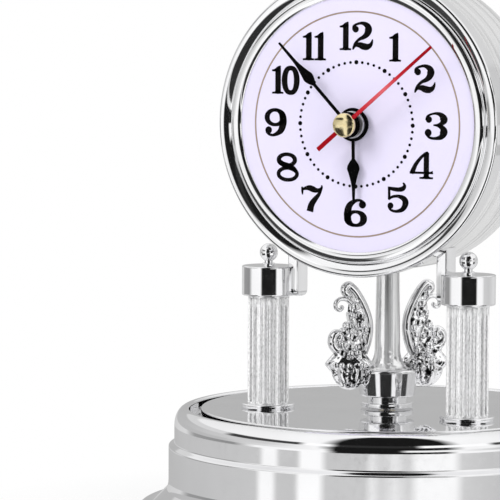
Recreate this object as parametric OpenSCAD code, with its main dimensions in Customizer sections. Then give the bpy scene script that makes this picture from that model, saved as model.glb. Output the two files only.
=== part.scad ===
// Glass dome clock: a drum-shaped clock head on two fluted columns over a
// turning pendulum, on a round chromed base under a lift-off glass dome.
// Lengths are in millimetres, +Z is up and the dial faces -Y. The origin is on
// the table at the centre of the base, under the axis of the pendulum.

/* [Dome] */
// Clear room between the head's bezel and the glass
dome_clear = 7.1; // [4:0.1:20]
// Thickness of the glass
dome_wall = 2.4; // [1.6:0.1:3.5]
// Height of the round top's centre above the head's centre
dome_raise = 3.5; // [0:0.5:30]
// Room on each side of the glass in its groove
dome_gap = 0.8; // [0.4:0.1:1.5]
// Depth of the groove that the dome stands in
groove_depth = 4.5; // [3.5:0.1:7]

/* [Base] */
// How far the rubber feet stand out below the base
feet_h = 1.2; // [0.8:0.1:3]
// Radius of a rubber foot
feet_r = 6; // [4:0.5:8]
// Height of the straight foot band
foot_h = 7.4; // [6:0.1:14]
// How far the foot band stands out past the cove
foot_step = 1.8; // [1.6:0.1:4]
// Radius of the cove above the foot
flare_r = 8.9; // [5:0.1:10]
// Height of the wide middle band
band_h = 11.2; // [6:0.1:16]
// How much the middle band widens downwards
band_draft = 0.4; // [0:0.05:1]
// How far the middle band stands out past the rim
band_step = 1.6; // [1:0.1:3]
// Height of the slope between the band and the rim
slope_h = 3; // [3:0.1:8]
// Height of the rim under the deck
rim_h = 11.3; // [8:0.1:16]
// Width of the rim outside the groove
rim_w = 5.3; // [4.5:0.1:8]
// How far the rim's crest lies below the deck
rim_drop = 0.8; // [0.3:0.1:1.5]
// Width of the rim's rounded outer shoulder
rim_round = 3.9; // [1.5:0.1:4]
// Height of the rim's rounded outer shoulder
rim_fall = 6.2; // [2:0.1:6.5]
// Wall thickness of the moulded base
base_wall = 2.2; // [1.6:0.1:3]
// Thickness of the chromed deck plate
deck_t = 2; // [1.5:0.1:3]
// Width of the ledge that carries the deck plate
ledge_w = 6; // [4:0.5:9]
// Thickness of the bottom cover
cover_t = 2; // [1.5:0.1:3]
// Radius of a screw post inside the base
post_r = 4; // [3:0.1:5]
// Radius of a bottom cover screw
cover_screw_r = 1.45; // [1.2:0.05:1.8]

/* [Columns] */
// Distance of each column's axis from the middle
col_x = 38.1; // [34:0.1:44]
// How far the columns stand in front of the pendulum
col_fwd = 17.5; // [14:0.1:20]
// Radius of the fluted shaft
col_r = 7.3; // [6:0.1:8.5]
// Height from the deck to the underside of the cap
col_h = 39.5; // [34:0.1:70]
// Number of flutes around a shaft
flutes = 20; // [12:1:24]
// Radius of one flute
flute_r = 0.85; // [0.4:0.05:1]
// Radius of the collar at the foot of a column
collar_r = 9.6; // [9:0.1:12]
// Height of the collar at the foot of a column
collar_h = 1.4; // [0.8:0.1:3]
// Radius of the smooth cap on a column
cap_r = 9.4; // [8:0.1:10]
// Height of the smooth cap on a column
cap_h = 10.4; // [8:0.1:14]
// Radius of the tie rod inside a column
rod_r = 1.95; // [1.5:0.05:2.5]
// Radius of the ball finial
ball_r = 3.2; // [2.4:0.1:3.8]
// Height of the neck under the ball
neck_h = 1.7; // [1:0.1:2.5]
// Radius of the neck under the ball
neck_r = 1.5; // [1.2:0.05:2]
// Thickness of the cheek that carries the head
cheek_t = 3.9; // [3.4:0.1:5]
// Depth of the cheek from front to back
cheek_d = 8.2; // [7.5:0.1:18]
// How far the cheek reaches in front of the column's axis
cheek_fwd = 0.7; // [0:0.05:5]
// Height of the drum's seat above the cap's underside
saddle_h = 17.7; // [16:0.1:26]
// Rounding of the cheek's lower corners
cheek_round = 2.5; // [1:0.1:4]

/* [Head] */
// Radius of the dial inside the bezel
dial_r = 43.8; // [42:0.1:60]
// Thickness of the dial
dial_t = 1; // [0.6:0.1:1.5]
// Width of the bezel around the dial
bezel_w = 8.8; // [6:0.1:11]
// Width of the bead at the bezel's inner edge
bead_w = 4; // [1.4:0.1:4.2]
// How far the dial's edge reaches under the bead
dial_seat = 1.2; // [0.6:0.1:1.3]
// How far the bezel's crest stands in front of the dial
roll_h = 1; // [0.5:0.1:2]
// Depth of the bezel's side wall behind the dial
bezel_d = 6.5; // [5.5:0.1:9]
// Bevel of the drum's front edge under the bezel
drum_bevel = 3; // [2.5:0.1:3.8]
// Thickness of the bezel's side wall
bezel_wall = 0.8; // [0.6:0.1:1.5]
// Wall thickness of the drum
drum_wall = 1.8; // [1.4:0.1:2.6]
// Width of the ring behind the dial's edge
seat_w = 9.4; // [5:0.1:10]
// Width of the flange around the rear cover
rear_flange = 7.3; // [5:0.1:10]
// Room between the pendulum drive and the rear cover
rear_room = 3; // [1.5:0.1:12]
// Thickness of the rear cover
rear_t = 2; // [1.5:0.1:3]
// Radius of the rear cover's pull
pull_r = 8; // [5:0.5:12]

/* [Hands] */
// Length of the hour hand
hour_len = 26.8; // [20:0.1:30]
// Length of the minute hand
minute_len = 38.3; // [32:0.1:41]
// Length of the second hand
second_len = 41.7; // [34:0.1:43.5]
// Length of the second hand's tail
tail_len = 13.2; // [8:0.1:18]
// Width of the hour and minute hands' stems
stem_w = 1.05; // [0.7:0.05:1.6]
// Width of the spade on the hour and minute hands
spade_w = 4.3; // [3:0.1:6]
// Width of the second hand
second_w = 1.2; // [0.8:0.1:2]
// Thickness of the hands
hand_t = 0.5; // [0.3:0.05:0.8]
// Radius of the hour hand's hub
hour_hub_r = 5.75; // [5.2:0.05:7]
// Radius of the minute hand's hub
minute_hub_r = 4.45; // [3.5:0.05:5]
// Radius of the domed brass cap
brass_r = 4.15; // [3:0.05:5]
// Height of the domed brass cap
brass_h = 1.9; // [1.2:0.1:3]
// Height of the hour hand above the dial
hour_lift = 2.3; // [2:0.1:4]
// Height of the minute hand above the hour hand
minute_lift = 3.7; // [3:0.1:6]
// Height of the second hand above the minute hand
second_lift = 2.8; // [2:0.1:5]

/* [Movement] */
// Radius of the battery
battery_r = 7.25; // [5.2:0.05:8]
// Length of the battery
battery_len = 50.5; // [44:0.5:54]
// Wall thickness of the movement's case
case_wall = 1.6; // [1.2:0.1:2.2]
// Height of the case above the hands' axis
case_up = 28; // [26:0.5:34]
// Thickness of a gear wheel
gear_t = 0.8; // [0.5:0.05:0.9]
// Pitch from one layer of wheels to the next
layer = 1.2; // [1.2:0.05:1.6]
// Distance from the hands' axis to the minute wheel
minute_dist = 9.6; // [9.4:0.05:11]
// Distance from the hands' axis to the third and intermediate wheels
train_dist = 9; // [8.9:0.05:9.2]
// Distance from the intermediate wheel to the rotor
rotor_dist = 8.4; // [8:0.1:10]
// Radius of the rotor's magnet
magnet_r = 3; // [2:0.1:3.5]
// Radius of the second hand's arbor
second_arbor_r = 0.7; // [0.5:0.05:0.75]
// Wall of the minute hand's tube
minute_wall = 0.8; // [0.5:0.05:0.9]
// Wall of the hour hand's tube
hour_wall = 0.95; // [0.6:0.05:1.1]
// Wall of the threaded bush through the dial
bush_wall = 1.35; // [1:0.05:1.6]
// Radius of the setting knob
knob_r = 4.5; // [3.5:0.1:4.9]
// Length of the setting knob
knob_h = 5; // [3:0.1:6]

/* [Pendulum] */
// Front to back size of the pendulum drive
drive_d = 17; // [15:0.5:22]
// Room between the battery and the pendulum drive
drive_gap = 1.45; // [0.8:0.05:4]
// Radius of the pendulum's shaft
shaft_r = 1.5; // [1.2:0.05:2]
// Radius of the spindle at its top
spindle_top_r = 4.05; // [3:0.05:4.2]
// Radius of the spindle above its flare
spindle_r = 4.5; // [3.8:0.05:5]
// Radius of the spindle's flared foot
spindle_foot_r = 8.6; // [7:0.1:10]
// Height of the spindle's flare
spindle_flare_h = 7; // [5:0.1:10]
// Radius of the cup
cup_r = 10.8; // [10:0.1:13]
// Height of the cup
cup_h = 9.7; // [8:0.1:12]
// Radius of the ring under the cup
ring_r = 9.3; // [8:0.1:11]
// Height of the ring under the cup
ring_h = 1.7; // [1.2:0.1:2.5]
// Height of the neck between ring and cup
hub_neck_h = 2.2; // [1.5:0.1:4]
// Room between the pendulum and the deck
pendulum_gap = 0.5; // [0.4:0.1:1.5]
// Distance from the pendulum's axis to an ornament
ornament_dist = 14.7; // [13.5:0.1:17]
// Greatest radius of an ornament's bulb
bulb_r = 8.2; // [6:0.1:9]
// Height of a bulb's underside above the deck
bulb_z = 7.2; // [5:0.1:9]
// Height of a bulb
bulb_h = 12.8; // [11:0.1:15]
// Room between the ornaments' tips and the head
leaf_room = 3.6; // [2:0.1:12]
// Half width of a leaf at its root
leaf_w = 5.4; // [4:0.1:6]

/* [Hidden] */
$fn = 96;

// Clearances: running for shafts, snug for what stays put, air for what passes
run = 0.05;
snug = 0.03;
air = 0.4;
cut = 1;

// Radii of the head, and how far its pieces lie from the pendulum's axis
bezel_r = dial_r + bezel_w;
drum_r = bezel_r - bezel_wall - snug;
dial_edge_r = dial_r + dial_seat;
battery_play = 0.3;
battery_axis = dial_t + case_wall + battery_play + battery_r;
dial_fwd = battery_axis + battery_r + drive_gap + drive_d / 2;
drum_back = dial_fwd + drive_d / 2 + rear_room + rear_t;

// Radii of the dome, its groove and the base, worked outwards from the head
head_reach = sqrt(bezel_r * bezel_r + dial_fwd * dial_fwd);
dome_in_r = head_reach + dome_clear;
dome_r = dome_in_r + dome_wall;
deck_r = dome_in_r - dome_gap;
groove_r = dome_r + dome_gap;
rim_r = groove_r + rim_w;
band_r = rim_r + band_step;
foot_r = band_r + band_draft + flare_r + foot_step;
ledge_r = deck_r - ledge_w;

// Heights from the table up
foot_z = feet_h + foot_h;
band_z = foot_z + flare_r;
slope_z = band_z + band_h;
rim_z = slope_z + slope_h;
deck_z = rim_z + rim_h;
rim_top = deck_z - rim_drop;
groove_z = deck_z - groove_depth;
ledge_t = base_wall;
col_top = deck_z + col_h;
cap_top = col_top + cap_h;
cheek_set = 1.6;
cheek_out = col_x - cap_r + cheek_set;
cheek_mid = cheek_out - cheek_t / 2;
saddle_gap = 0.05;
saddle_r = drum_r + saddle_gap;
drum_sag = sqrt(drum_r * drum_r - cheek_mid * cheek_mid);
head_z = col_top + saddle_h + drum_sag;
dome_spring = head_z + dome_raise;

// Screws and fittings
post_n = 3;
post_ring_r = (ledge_r + groove_r) / 2;
post_turn = 30;
feet_n = 4;
feet_ring_r = foot_r - base_wall - feet_r - 2;
nut_r = rod_r * 2;
nut_h = rod_r * 1.6;
rod_depth = 6;
stud_h = 3;
bracket_screw_r = 1;
bracket_head_r = bracket_screw_r * 1.8;
bracket_head_h = 1.6;
bracket_grip = 8;
bracket_screw_y = [-cheek_d / 4, cheek_d / 4];
boss_r = 3;
boss_room = 0.3;
boss_top = drum_sag - sqrt(pow(drum_r - drum_wall, 2) - pow(cheek_mid + bracket_head_r, 2)) + boss_room;

// Layers of the movement, measured forwards from the dial's face
case_front = -dial_t;
case_inner = case_front - case_wall;
layer_gap = layer - gear_t;
layer_n = 8;
case_back_in = case_inner - layer_n * layer - 1.2;
case_back = case_back_in - case_wall;
function layer_a(n) = case_inner - n * layer;

// Tubes and arbors of the hands, each running inside the next
minute_in_r = second_arbor_r + run;
minute_out_r = minute_in_r + minute_wall;
hour_in_r = minute_out_r + run;
hour_out_r = hour_in_r + hour_wall;
bush_in_r = hour_out_r + run;
bush_r = bush_in_r + bush_wall;
small_arbor_r = 0.5;
minute_wheel_arbor_r = 0.8;
pivot_depth = 0.9;

// Heights of the hands in front of the dial
nut_top = 1.5;
hour_a = hour_lift;
collet_r = hour_hub_r - 1.1;
collet_h = 1.3;
minute_a = hour_a + minute_lift;
second_a = minute_a + second_lift;
hour_angle = 179;
minute_angle = 316.2;
second_angle = 49.8;

// Gear trains: teeth of each pair, pinion first
hour_teeth = [12, 48];
minute_teeth = [12, 36];
third_teeth = [8, 60];
center_teeth = [8, 64];
second_teeth = [8, 40];
rotor_teeth = [8, 48];
tooth_fat = 0.4;
tooth_add = 0.75;
tooth_ded = 1.05;
function pair_module(teeth, distance) = 2 * distance / (teeth[0] + teeth[1]);
function mesh_turn(heading, turn, teeth, mate) =
  heading + 180 + 180 / mate - (turn - heading) * teeth / mate;

// Wheel centres seen from the front, and the direction of each mesh
minute_heading = 0;
third_heading = 90;
inter_heading = 180;
rotor_heading = 135;
function polar(r, angle) = [r * cos(angle), r * sin(angle)];
minute_at = polar(minute_dist, minute_heading);
third_at = polar(train_dist, third_heading);
inter_at = polar(train_dist, inter_heading);
rotor_at = inter_at + polar(rotor_dist, rotor_heading);
rotor_turn = mesh_turn(rotor_heading, 0, rotor_teeth[1], rotor_teeth[0]);
inter_pinion_turn = mesh_turn(inter_heading, 0, second_teeth[1], second_teeth[0]);
third_wheel_turn = mesh_turn(third_heading, 0, third_teeth[0], third_teeth[1]);
third_pinion_turn = mesh_turn(third_heading, 0, center_teeth[1], center_teeth[0]);
minute_wheel_turn = mesh_turn(minute_heading, 0, minute_teeth[0], minute_teeth[1]);
minute_pinion_turn = mesh_turn(minute_heading, 0, hour_teeth[1], hour_teeth[0]);

// The movement's case around its wheels and its battery
center_module = pair_module(center_teeth, train_dist);
gear_reach = center_module * (center_teeth[1] / 2 + tooth_add);
gear_room = 1.6;
bay_top = -(gear_reach + gear_room + case_wall);
battery_y = bay_top - battery_play - battery_r;
case_down = battery_y - battery_r - battery_play - case_wall;
contact_room = 1.15;
case_half = battery_len / 2 + contact_room + case_wall;

// The pendulum drive, hung behind the movement
drive_wall = 2;
drive_half = drive_d * 0.7;
drive_top = bay_top + case_wall + 1;
drive_bottom = battery_y - battery_r - 16;
drive_ceiling = drive_bottom + 24;
collar_r_drive = 3;
coil_r = drive_d / 2 - drive_wall - 0.4;
guide_r = 1.2;
guide_depth = 3.5;

// Heights of the pendulum above the deck
ring_z = pendulum_gap;
hub_neck_z = ring_z + ring_h;
cup_z = hub_neck_z + hub_neck_h;
cup_top = cup_z + cup_h;
spindle_top = head_z - drum_r - 0.7 - deck_z;
bulb_widest = bulb_z + 0.63 * bulb_h;
bulb_top = bulb_z + bulb_h;
bulb_top_r = 4.6;
leaf_h = head_z - bezel_r - deck_z - leaf_room - bulb_top;
leaf_bow = leaf_w * 0.67;
leaf_set = leaf_w * 0.19;
leaf_lean = leaf_w / 3;
leaf_t = leaf_w * 0.6;
leaf_edge = 0.3;
leaf_tip = 0.5;
left_arm = 229.4;
right_arm = left_arm + 180;

chrome = "gainsboro";
dark = "dimgray";
brass = "goldenrod";

// Points of an arc in a plane, from one angle to another
function arc(x, y, r, from, to, steps = 8) =
  [for (i = [0:steps]) let (a = from + (to - from) * i / steps) [x + r * cos(a), y + r * sin(a)]];

// A cosine slope from one point to another, level at both ends
function ease(from, to, steps = 8) =
  [for (i = [0:steps]) let (u = i / steps, s = (1 - cos(180 * u)) / 2)
    [from[0] + (to[0] - from[0]) * s, from[1] + (to[1] - from[1]) * u]];

// Places children in the head: +X right, +Y up and +Z towards the viewer
module in_head() { translate([0, -dial_fwd, head_z]) rotate([90, 0, 0]) children(); }

// Places children in a level slab of the head between two heights before the dial
module slab(low, high) { translate([0, 0, low]) linear_extrude(high - low) children(); }

// A tube in the head, along the hands' axis
module pipe(r_out, r_in, low, high) {
  slab(low, high) difference() { circle(r_out); circle(r_in); }
}

// One gear wheel's outline with straight-sided teeth
module gear(teeth, size) {
  half = 180 * tooth_fat / teeth;
  tip = size * (teeth / 2 + tooth_add);
  root = size * (teeth / 2 - tooth_ded);
  polygon([for (i = [0:teeth - 1]) each [
    polar(root, 360 * i / teeth - 1.3 * half),
    polar(tip, 360 * i / teeth - 0.55 * half),
    polar(tip, 360 * i / teeth + 0.55 * half),
    polar(root, 360 * i / teeth + 1.3 * half)]]);
}

// One gear layer of the movement
module gear_layer(n, teeth, size, turn, bore = 0) {
  slab(layer_a(n), layer_a(n) + gear_t) rotate(turn) difference() {
    gear(teeth, size);
    if (bore > 0) circle(bore);
  }
}

module at(p) { translate([p[0], p[1], 0]) children(); }

// Base

module base_shell() {
  inner_foot = foot_r - base_wall;
  inner_band = band_r - base_wall;
  inner_rim = rim_r - base_wall;
  under_ledge = groove_z - ledge_t;
  foot_round = 1.5;
  lip = 1;
  color(chrome) difference() {
    union() {
      rotate_extrude() polygon(concat(
        [[foot_r, feet_h]],
        arc(foot_r - foot_round, foot_z - foot_round, foot_round, 0, 90, 5),
        arc(foot_r - foot_step, band_z, flare_r, 270, 180, 10),
        ease([band_r, slope_z], [rim_r, rim_z], 6),
        [for (i = [0:8]) let (a = 90 * i / 8)
          [rim_r - rim_round * (1 - cos(a)), rim_top - rim_fall * (1 - sin(a))]],
        arc(groove_r + lip, rim_top - lip, lip, 90, 180, 5),
        [[groove_r, groove_z], [ledge_r, groove_z], [ledge_r, under_ledge]],
        [[inner_rim, under_ledge], [inner_rim, rim_z - base_wall]],
        [[inner_band, slope_z - base_wall], [inner_band + band_draft, band_z]],
        arc(foot_r - foot_step, band_z, flare_r + base_wall, 180, 250, 8),
        [[inner_foot, foot_z - base_wall], [inner_foot, feet_h]]));
      for (i = [0:post_n - 1]) rotate(post_turn + 360 * i / post_n)
        translate([post_ring_r, 0, feet_h + cover_t])
          cylinder(r = post_r, h = under_ledge + ledge_t / 2 - feet_h - cover_t);
    }
    for (i = [0:post_n - 1]) rotate(post_turn + 360 * i / post_n)
      translate([post_ring_r, 0, feet_h]) cylinder(r = cover_screw_r + snug, h = cover_t + post_r * 3);
  }
}

module deck_plate() {
  edge = 0.6;
  skirt = base_wall;
  color(chrome) difference() {
    rotate_extrude() polygon(concat(
      [[0, deck_z - deck_t], [deck_r - skirt, deck_z - deck_t], [deck_r - skirt, groove_z]],
      [[deck_r, groove_z]],
      arc(deck_r - edge, deck_z - edge, edge, 0, 90, 4),
      [[0, deck_z]]));
    for (s = [-1, 1]) translate([s * col_x, -col_fwd, deck_z - deck_t - cut])
      cylinder(r = rod_r + snug, h = deck_t + 2 * cut);
    translate([0, 0, deck_z - deck_t - cut]) cylinder(r = guide_r * 2.5 + snug, h = deck_t + 2 * cut);
  }
}

module bottom_cover() {
  color(dark) difference() {
    translate([0, 0, feet_h]) cylinder(r = foot_r - base_wall - 0.2, h = cover_t);
    for (i = [0:post_n - 1]) rotate(post_turn + 360 * i / post_n)
      translate([post_ring_r, 0, feet_h - cut]) cylinder(r = cover_screw_r + 0.2, h = cover_t + 2 * cut);
  }
}

module base_feet() {
  color("black") for (i = [0:feet_n - 1]) rotate(45 + 360 * i / feet_n)
    translate([feet_ring_r, 0, 0]) cylinder(r = feet_r, h = feet_h);
}

module cover_screws() {
  head_h = feet_h * 0.6;
  grip = post_r * 2.5;
  color("silver") for (i = [0:post_n - 1]) rotate(post_turn + 360 * i / post_n)
    translate([post_ring_r, 0, feet_h - head_h]) {
      cylinder(r = cover_screw_r * 1.9, h = head_h);
      cylinder(r = cover_screw_r, h = head_h + cover_t + grip);
    }
}

// Columns and what they carry

module tie_rods() {
  bottom = deck_z - deck_t - nut_h - 1.5;
  color("silver") for (s = [-1, 1]) translate([s * col_x, -col_fwd, bottom])
    cylinder(r = rod_r, h = col_top + rod_depth - 0.3 - bottom);
}

module tie_nuts() {
  color("silver") for (s = [-1, 1]) translate([s * col_x, -col_fwd, deck_z - deck_t - nut_h])
    difference() {
      cylinder(r = nut_r, h = nut_h, $fn = 6);
      translate([0, 0, -cut]) cylinder(r = rod_r + snug, h = nut_h + 2 * cut);
    }
}

module guide_bush() {
  bush_h = guide_depth + 2.5;
  color(brass) translate([0, 0, deck_z - bush_h]) difference() {
    cylinder(r = guide_r * 2.5, h = bush_h);
    translate([0, 0, 1.5]) cylinder(r = guide_r + run, h = bush_h);
  }
}

module column(s) {
  color(chrome) translate([s * col_x, -col_fwd, deck_z]) difference() {
    union() {
      cylinder(r = col_r, h = col_h);
      cylinder(r = collar_r, h = collar_h);
    }
    for (i = [0:flutes - 1]) rotate(360 * (i + 0.5) / flutes)
      translate([col_r + flute_r * 0.15, 0, collar_h]) cylinder(r = flute_r, h = col_h, $fn = 24);
    translate([0, 0, -cut]) cylinder(r = rod_r + 0.2, h = col_h + 2 * cut);
  }
}

module column_left() { column(-1); }
module column_right() { column(1); }

// A cap on a column with the upright cheek that the drum sits on
module bracket(s) {
  front = -col_fwd - cheek_fwd;
  color(chrome) difference() {
    union() {
      translate([s * col_x, -col_fwd, col_top]) cylinder(r = cap_r, h = cap_h);
      translate([s * cheek_mid - cheek_t / 2, 0, 0]) rotate([90, 0, 90]) linear_extrude(cheek_t)
        polygon(concat(
          arc(front + cheek_round, col_top + cheek_round, cheek_round, 180, 270, 5),
          arc(front + cheek_d - cheek_round, col_top + cheek_round, cheek_round, 270, 360, 5),
          [[front + cheek_d, head_z], [front, head_z]]));
    }
    in_head() translate([0, 0, -3 * dial_fwd]) cylinder(r = saddle_r, h = 6 * dial_fwd);
    translate([s * col_x, -col_fwd, col_top - cut]) cylinder(r = rod_r + snug, h = rod_depth + cut);
    translate([s * col_x, -col_fwd, cap_top - stud_h]) cylinder(r = neck_r + snug, h = stud_h + cut);
    bracket_bores(s, bracket_screw_r + snug, bracket_grip + 1);
  }
}

module bracket_left() { bracket(-1); }
module bracket_right() { bracket(1); }

// Upright screw holes through the drum's wall into one cheek
module bracket_bores(s, r, depth) {
  seat = head_z - drum_sag;
  middle = -col_fwd - cheek_fwd + cheek_d / 2;
  for (y = bracket_screw_y) translate([s * cheek_mid, middle + y, seat - depth])
    cylinder(r = r, h = depth + boss_top + cut);
}

module finial(s) {
  foot = 0.9;
  color(chrome) translate([s * col_x, -col_fwd, cap_top]) {
    translate([0, 0, -stud_h + 0.2]) cylinder(r = neck_r, h = stud_h + neck_h);
    cylinder(r = neck_r + 0.9, h = foot);
    translate([0, 0, neck_h + ball_r - 0.3]) sphere(r = ball_r);
  }
}

module finial_left() { finial(-1); }
module finial_right() { finial(1); }

// Head

module head_drum() {
  seat = -dial_t;
  inner = drum_r - drum_wall;
  opening = drum_r - rear_flange;
  color(chrome) difference() {
    union() {
      in_head() rotate_extrude() polygon([
        [drum_r - seat_w, seat], [drum_r - drum_bevel, seat], [drum_r, seat - drum_bevel],
        [drum_r, -drum_back], [opening, -drum_back],
        [opening, -drum_back + rear_t], [inner, -drum_back + rear_t],
        [inner, seat - drum_wall - drum_bevel], [inner - drum_bevel, seat - drum_wall],
        [drum_r - seat_w, seat - drum_wall]]);
      drum_bosses();
    }
    for (s = [-1, 1]) bracket_bores(s, bracket_screw_r + snug, 0.5);
    translate([0, 0, head_z - drum_r - cut]) cylinder(r = shaft_r * 2, h = drum_wall + 2 * cut);
  }
}

// Bosses inside the drum that give the bracket screws a level seat
module drum_bosses() {
  seat = head_z - drum_sag;
  middle = -col_fwd - cheek_fwd + cheek_d / 2;
  intersection() {
    for (s = [-1, 1], y = bracket_screw_y) translate([s * cheek_mid, middle + y, seat - boss_r])
      cylinder(r = boss_r, h = boss_r + boss_top);
    in_head() translate([0, 0, -drum_back]) cylinder(r = drum_r - drum_wall / 2, h = drum_back - dial_t);
  }
}

module bracket_screws() {
  seat = head_z - drum_sag;
  middle = -col_fwd - cheek_fwd + cheek_d / 2;
  color("silver") for (s = [-1, 1], y = bracket_screw_y)
    translate([s * cheek_mid, middle + y, seat + boss_top]) {
      cylinder(r = bracket_head_r, h = bracket_head_h);
      translate([0, 0, -boss_top - bracket_grip])
        cylinder(r = bracket_screw_r, h = boss_top + bracket_grip + bracket_head_h);
    }
}

module bezel() {
  edge_r = 1.1;
  crest_r = bezel_r - edge_r;
  valley_r = dial_r + bead_w + 0.2;
  valley_drop = 0.4;
  bead_h = bead_w / 4;
  color(chrome) in_head() rotate_extrude() polygon(concat(
    [for (i = [0:8]) let (a = 180 - 180 * i / 8)
      [dial_r + bead_w / 2 * (1 + cos(a)), bead_h * sin(a)]],
    [for (i = [0:5]) let (u = i / 6)
      [valley_r + (crest_r - valley_r) * u, roll_h - (roll_h + valley_drop) * pow(1 - u, 2)]],
    arc(crest_r, roll_h - edge_r, edge_r, 90, 0, 6),
    [[bezel_r, -bezel_d], [drum_r + snug, -bezel_d], [drum_r + snug, -dial_t - drum_bevel],
     [drum_r + snug - drum_bevel, -dial_t], [dial_edge_r + snug, -dial_t], [dial_edge_r + snug, 0]]));
}

module dial() {
  color("lavender") in_head() pipe(dial_edge_r, bush_r + snug, -dial_t, 0);
}

module rear_cover() {
  edge = drum_r - rear_flange - 0.1;
  pull_h = 5;
  color(dark) in_head() {
    slab(-drum_back, -drum_back + rear_t) circle(edge);
    translate([0, 0, -drum_back]) mirror([0, 0, 1]) rotate_extrude() polygon(concat(
      [[0, 0], [pull_r, 0]], arc(pull_r - 1.2, pull_h - 1.2, 1.2, 0, 90, 4), [[0, pull_h]]));
  }
}

// Movement

module case_outline() { translate([-case_half, case_down]) square([2 * case_half, case_up - case_down]); }

module movement_front() {
  color("whitesmoke") in_head() difference() {
    union() {
      slab(case_inner, case_front) case_outline();
      slab(case_inner, nut_top + 0.4) circle(bush_r);
    }
    slab(case_inner - cut, nut_top + cut) circle(bush_in_r);
    slab(case_inner - cut, case_inner + pivot_depth) {
      at(third_at) circle(small_arbor_r + run, $fn = 48);
      at(inter_at) circle(small_arbor_r + run, $fn = 48);
      at(rotor_at) circle(small_arbor_r + run, $fn = 48);
      at(minute_at) circle(minute_wheel_arbor_r + run, $fn = 48);
    }
  }
}

module movement_back() {
  color("whitesmoke") in_head() difference() {
    slab(case_back, case_inner) case_outline();
    slab(case_back_in, case_inner + cut) translate([-case_half + case_wall, bay_top + case_wall])
      square([2 * (case_half - case_wall), case_up - bay_top - 2 * case_wall]);
    slab(case_back - cut, case_inner + cut) translate([-case_half + case_wall, case_down + case_wall])
      square([2 * (case_half - case_wall), bay_top - case_down - case_wall]);
    slab(case_back_in - pivot_depth, case_back_in + cut) {
      circle(second_arbor_r + run, $fn = 48);
      at(third_at) circle(small_arbor_r + run, $fn = 48);
      at(inter_at) circle(small_arbor_r + run, $fn = 48);
      at(rotor_at) circle(small_arbor_r + run, $fn = 48);
    }
    slab(case_back - cut, case_back_in + cut) at(minute_at) circle(minute_wheel_arbor_r + run, $fn = 48);
    slab(case_back - cut, case_back_in - pivot_depth + 0.2) drive_screw_places()
      circle(bracket_screw_r + snug, $fn = 48);
  }
}

module dial_nut() { color(dark) in_head() pipe(bush_r + 0.9, bush_r + snug, 0, nut_top); }

module battery() {
  nub_h = 1;
  color("darkorange") in_head() translate([-battery_len / 2, battery_y, -battery_axis]) rotate([0, 90, 0]) {
    cylinder(r = battery_r, h = battery_len - nub_h);
    cylinder(r = battery_r * 0.38, h = battery_len);
  }
}

// Sprung contact plates between the battery's ends and the bay's walls
module battery_contacts() {
  plate_t = 0.5;
  plate_w = 9;
  color("silver") in_head() for (s = [-1, 1]) mirror([s < 0 ? 1 : 0, 0, 0])
    translate([case_half - case_wall, battery_y, -battery_axis]) rotate([0, -90, 0]) {
      translate([-plate_w / 2, -plate_w / 2, 0]) cube([plate_w, plate_w, plate_t]);
      cylinder(r = battery_r * 0.35, h = contact_room - snug);
    }
}

module circuit_board() {
  board_t = 1;
  chip_h = 1.2;
  low = [7, 11];
  size = [case_half - case_wall - low[0] - 1, case_up - case_wall - low[1] - 1];
  color("darkgreen") in_head() slab(case_back_in, case_back_in + board_t) translate(low) square(size);
  color("black") in_head() slab(case_back_in + board_t, case_back_in + board_t + chip_h)
    translate(low + size / 2) square(6, center = true);
}

// The stepping motor's iron: a plate around the rotor with a bar through the coil
stator_t = 1;
stator_a = layer_a(layer_n);
stator_half = magnet_r + 1.6;
bar_w = 4;
bar_y = case_up - case_wall - 3;
coil_set = 4;
coil_len = case_half / 2;
bar_len = coil_set + coil_len + 2;

module stator() {
  left = rotor_at[0] - stator_half;
  color("gray") in_head() slab(stator_a, stator_a + stator_t) difference() {
    union() {
      translate([left, rotor_at[1] - stator_half]) square(2 * stator_half);
      translate([left, rotor_at[1]]) square([3, bar_y - rotor_at[1]]);
      translate([left, bar_y - bar_w]) square([bar_len, bar_w]);
    }
    at(rotor_at) circle(magnet_r + air);
  }
}

module coil() {
  left = rotor_at[0] - stator_half + coil_set;
  side = 1.4;
  color("peru") in_head() difference() {
    slab(case_back_in, stator_a + stator_t + side) translate([left, bar_y - bar_w - side])
      square([coil_len, bar_w + 2 * side]);
    slab(stator_a - snug, stator_a + stator_t + snug) translate([left - cut, bar_y - bar_w - snug])
      square([coil_len + 2 * cut, bar_w + 2 * snug]);
  }
}

module rotor() {
  size = pair_module(rotor_teeth, rotor_dist);
  color("black") in_head() at(rotor_at) {
    slab(case_back_in - pivot_depth + 0.1, case_inner + pivot_depth - 0.1) circle(small_arbor_r, $fn = 48);
    gear_layer(7, rotor_teeth[0], size, rotor_turn);
    slab(stator_a - 0.2, stator_a + stator_t + 0.1) circle(magnet_r);
  }
}

module intermediate_wheel() {
  color("white") in_head() at(inter_at) {
    slab(case_back_in - pivot_depth + 0.1, case_inner + pivot_depth - 0.1) circle(small_arbor_r, $fn = 48);
    gear_layer(6, second_teeth[0], pair_module(second_teeth, train_dist), inter_pinion_turn);
    gear_layer(7, rotor_teeth[1], pair_module(rotor_teeth, rotor_dist), 0);
  }
}

module second_wheel() {
  color("white") in_head() {
    slab(case_back_in - pivot_depth + 0.1, second_a + hand_t + 0.2) circle(second_arbor_r, $fn = 48);
    gear_layer(5, third_teeth[0], pair_module(third_teeth, train_dist), 0);
    gear_layer(6, second_teeth[1], pair_module(second_teeth, train_dist), 0);
  }
}

module third_wheel() {
  color("white") in_head() at(third_at) {
    slab(case_back_in - pivot_depth + 0.1, case_inner + pivot_depth - 0.1) circle(small_arbor_r, $fn = 48);
    gear_layer(3, center_teeth[0], center_module, third_pinion_turn);
    gear_layer(5, third_teeth[1], pair_module(third_teeth, train_dist), third_wheel_turn);
  }
}

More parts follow.
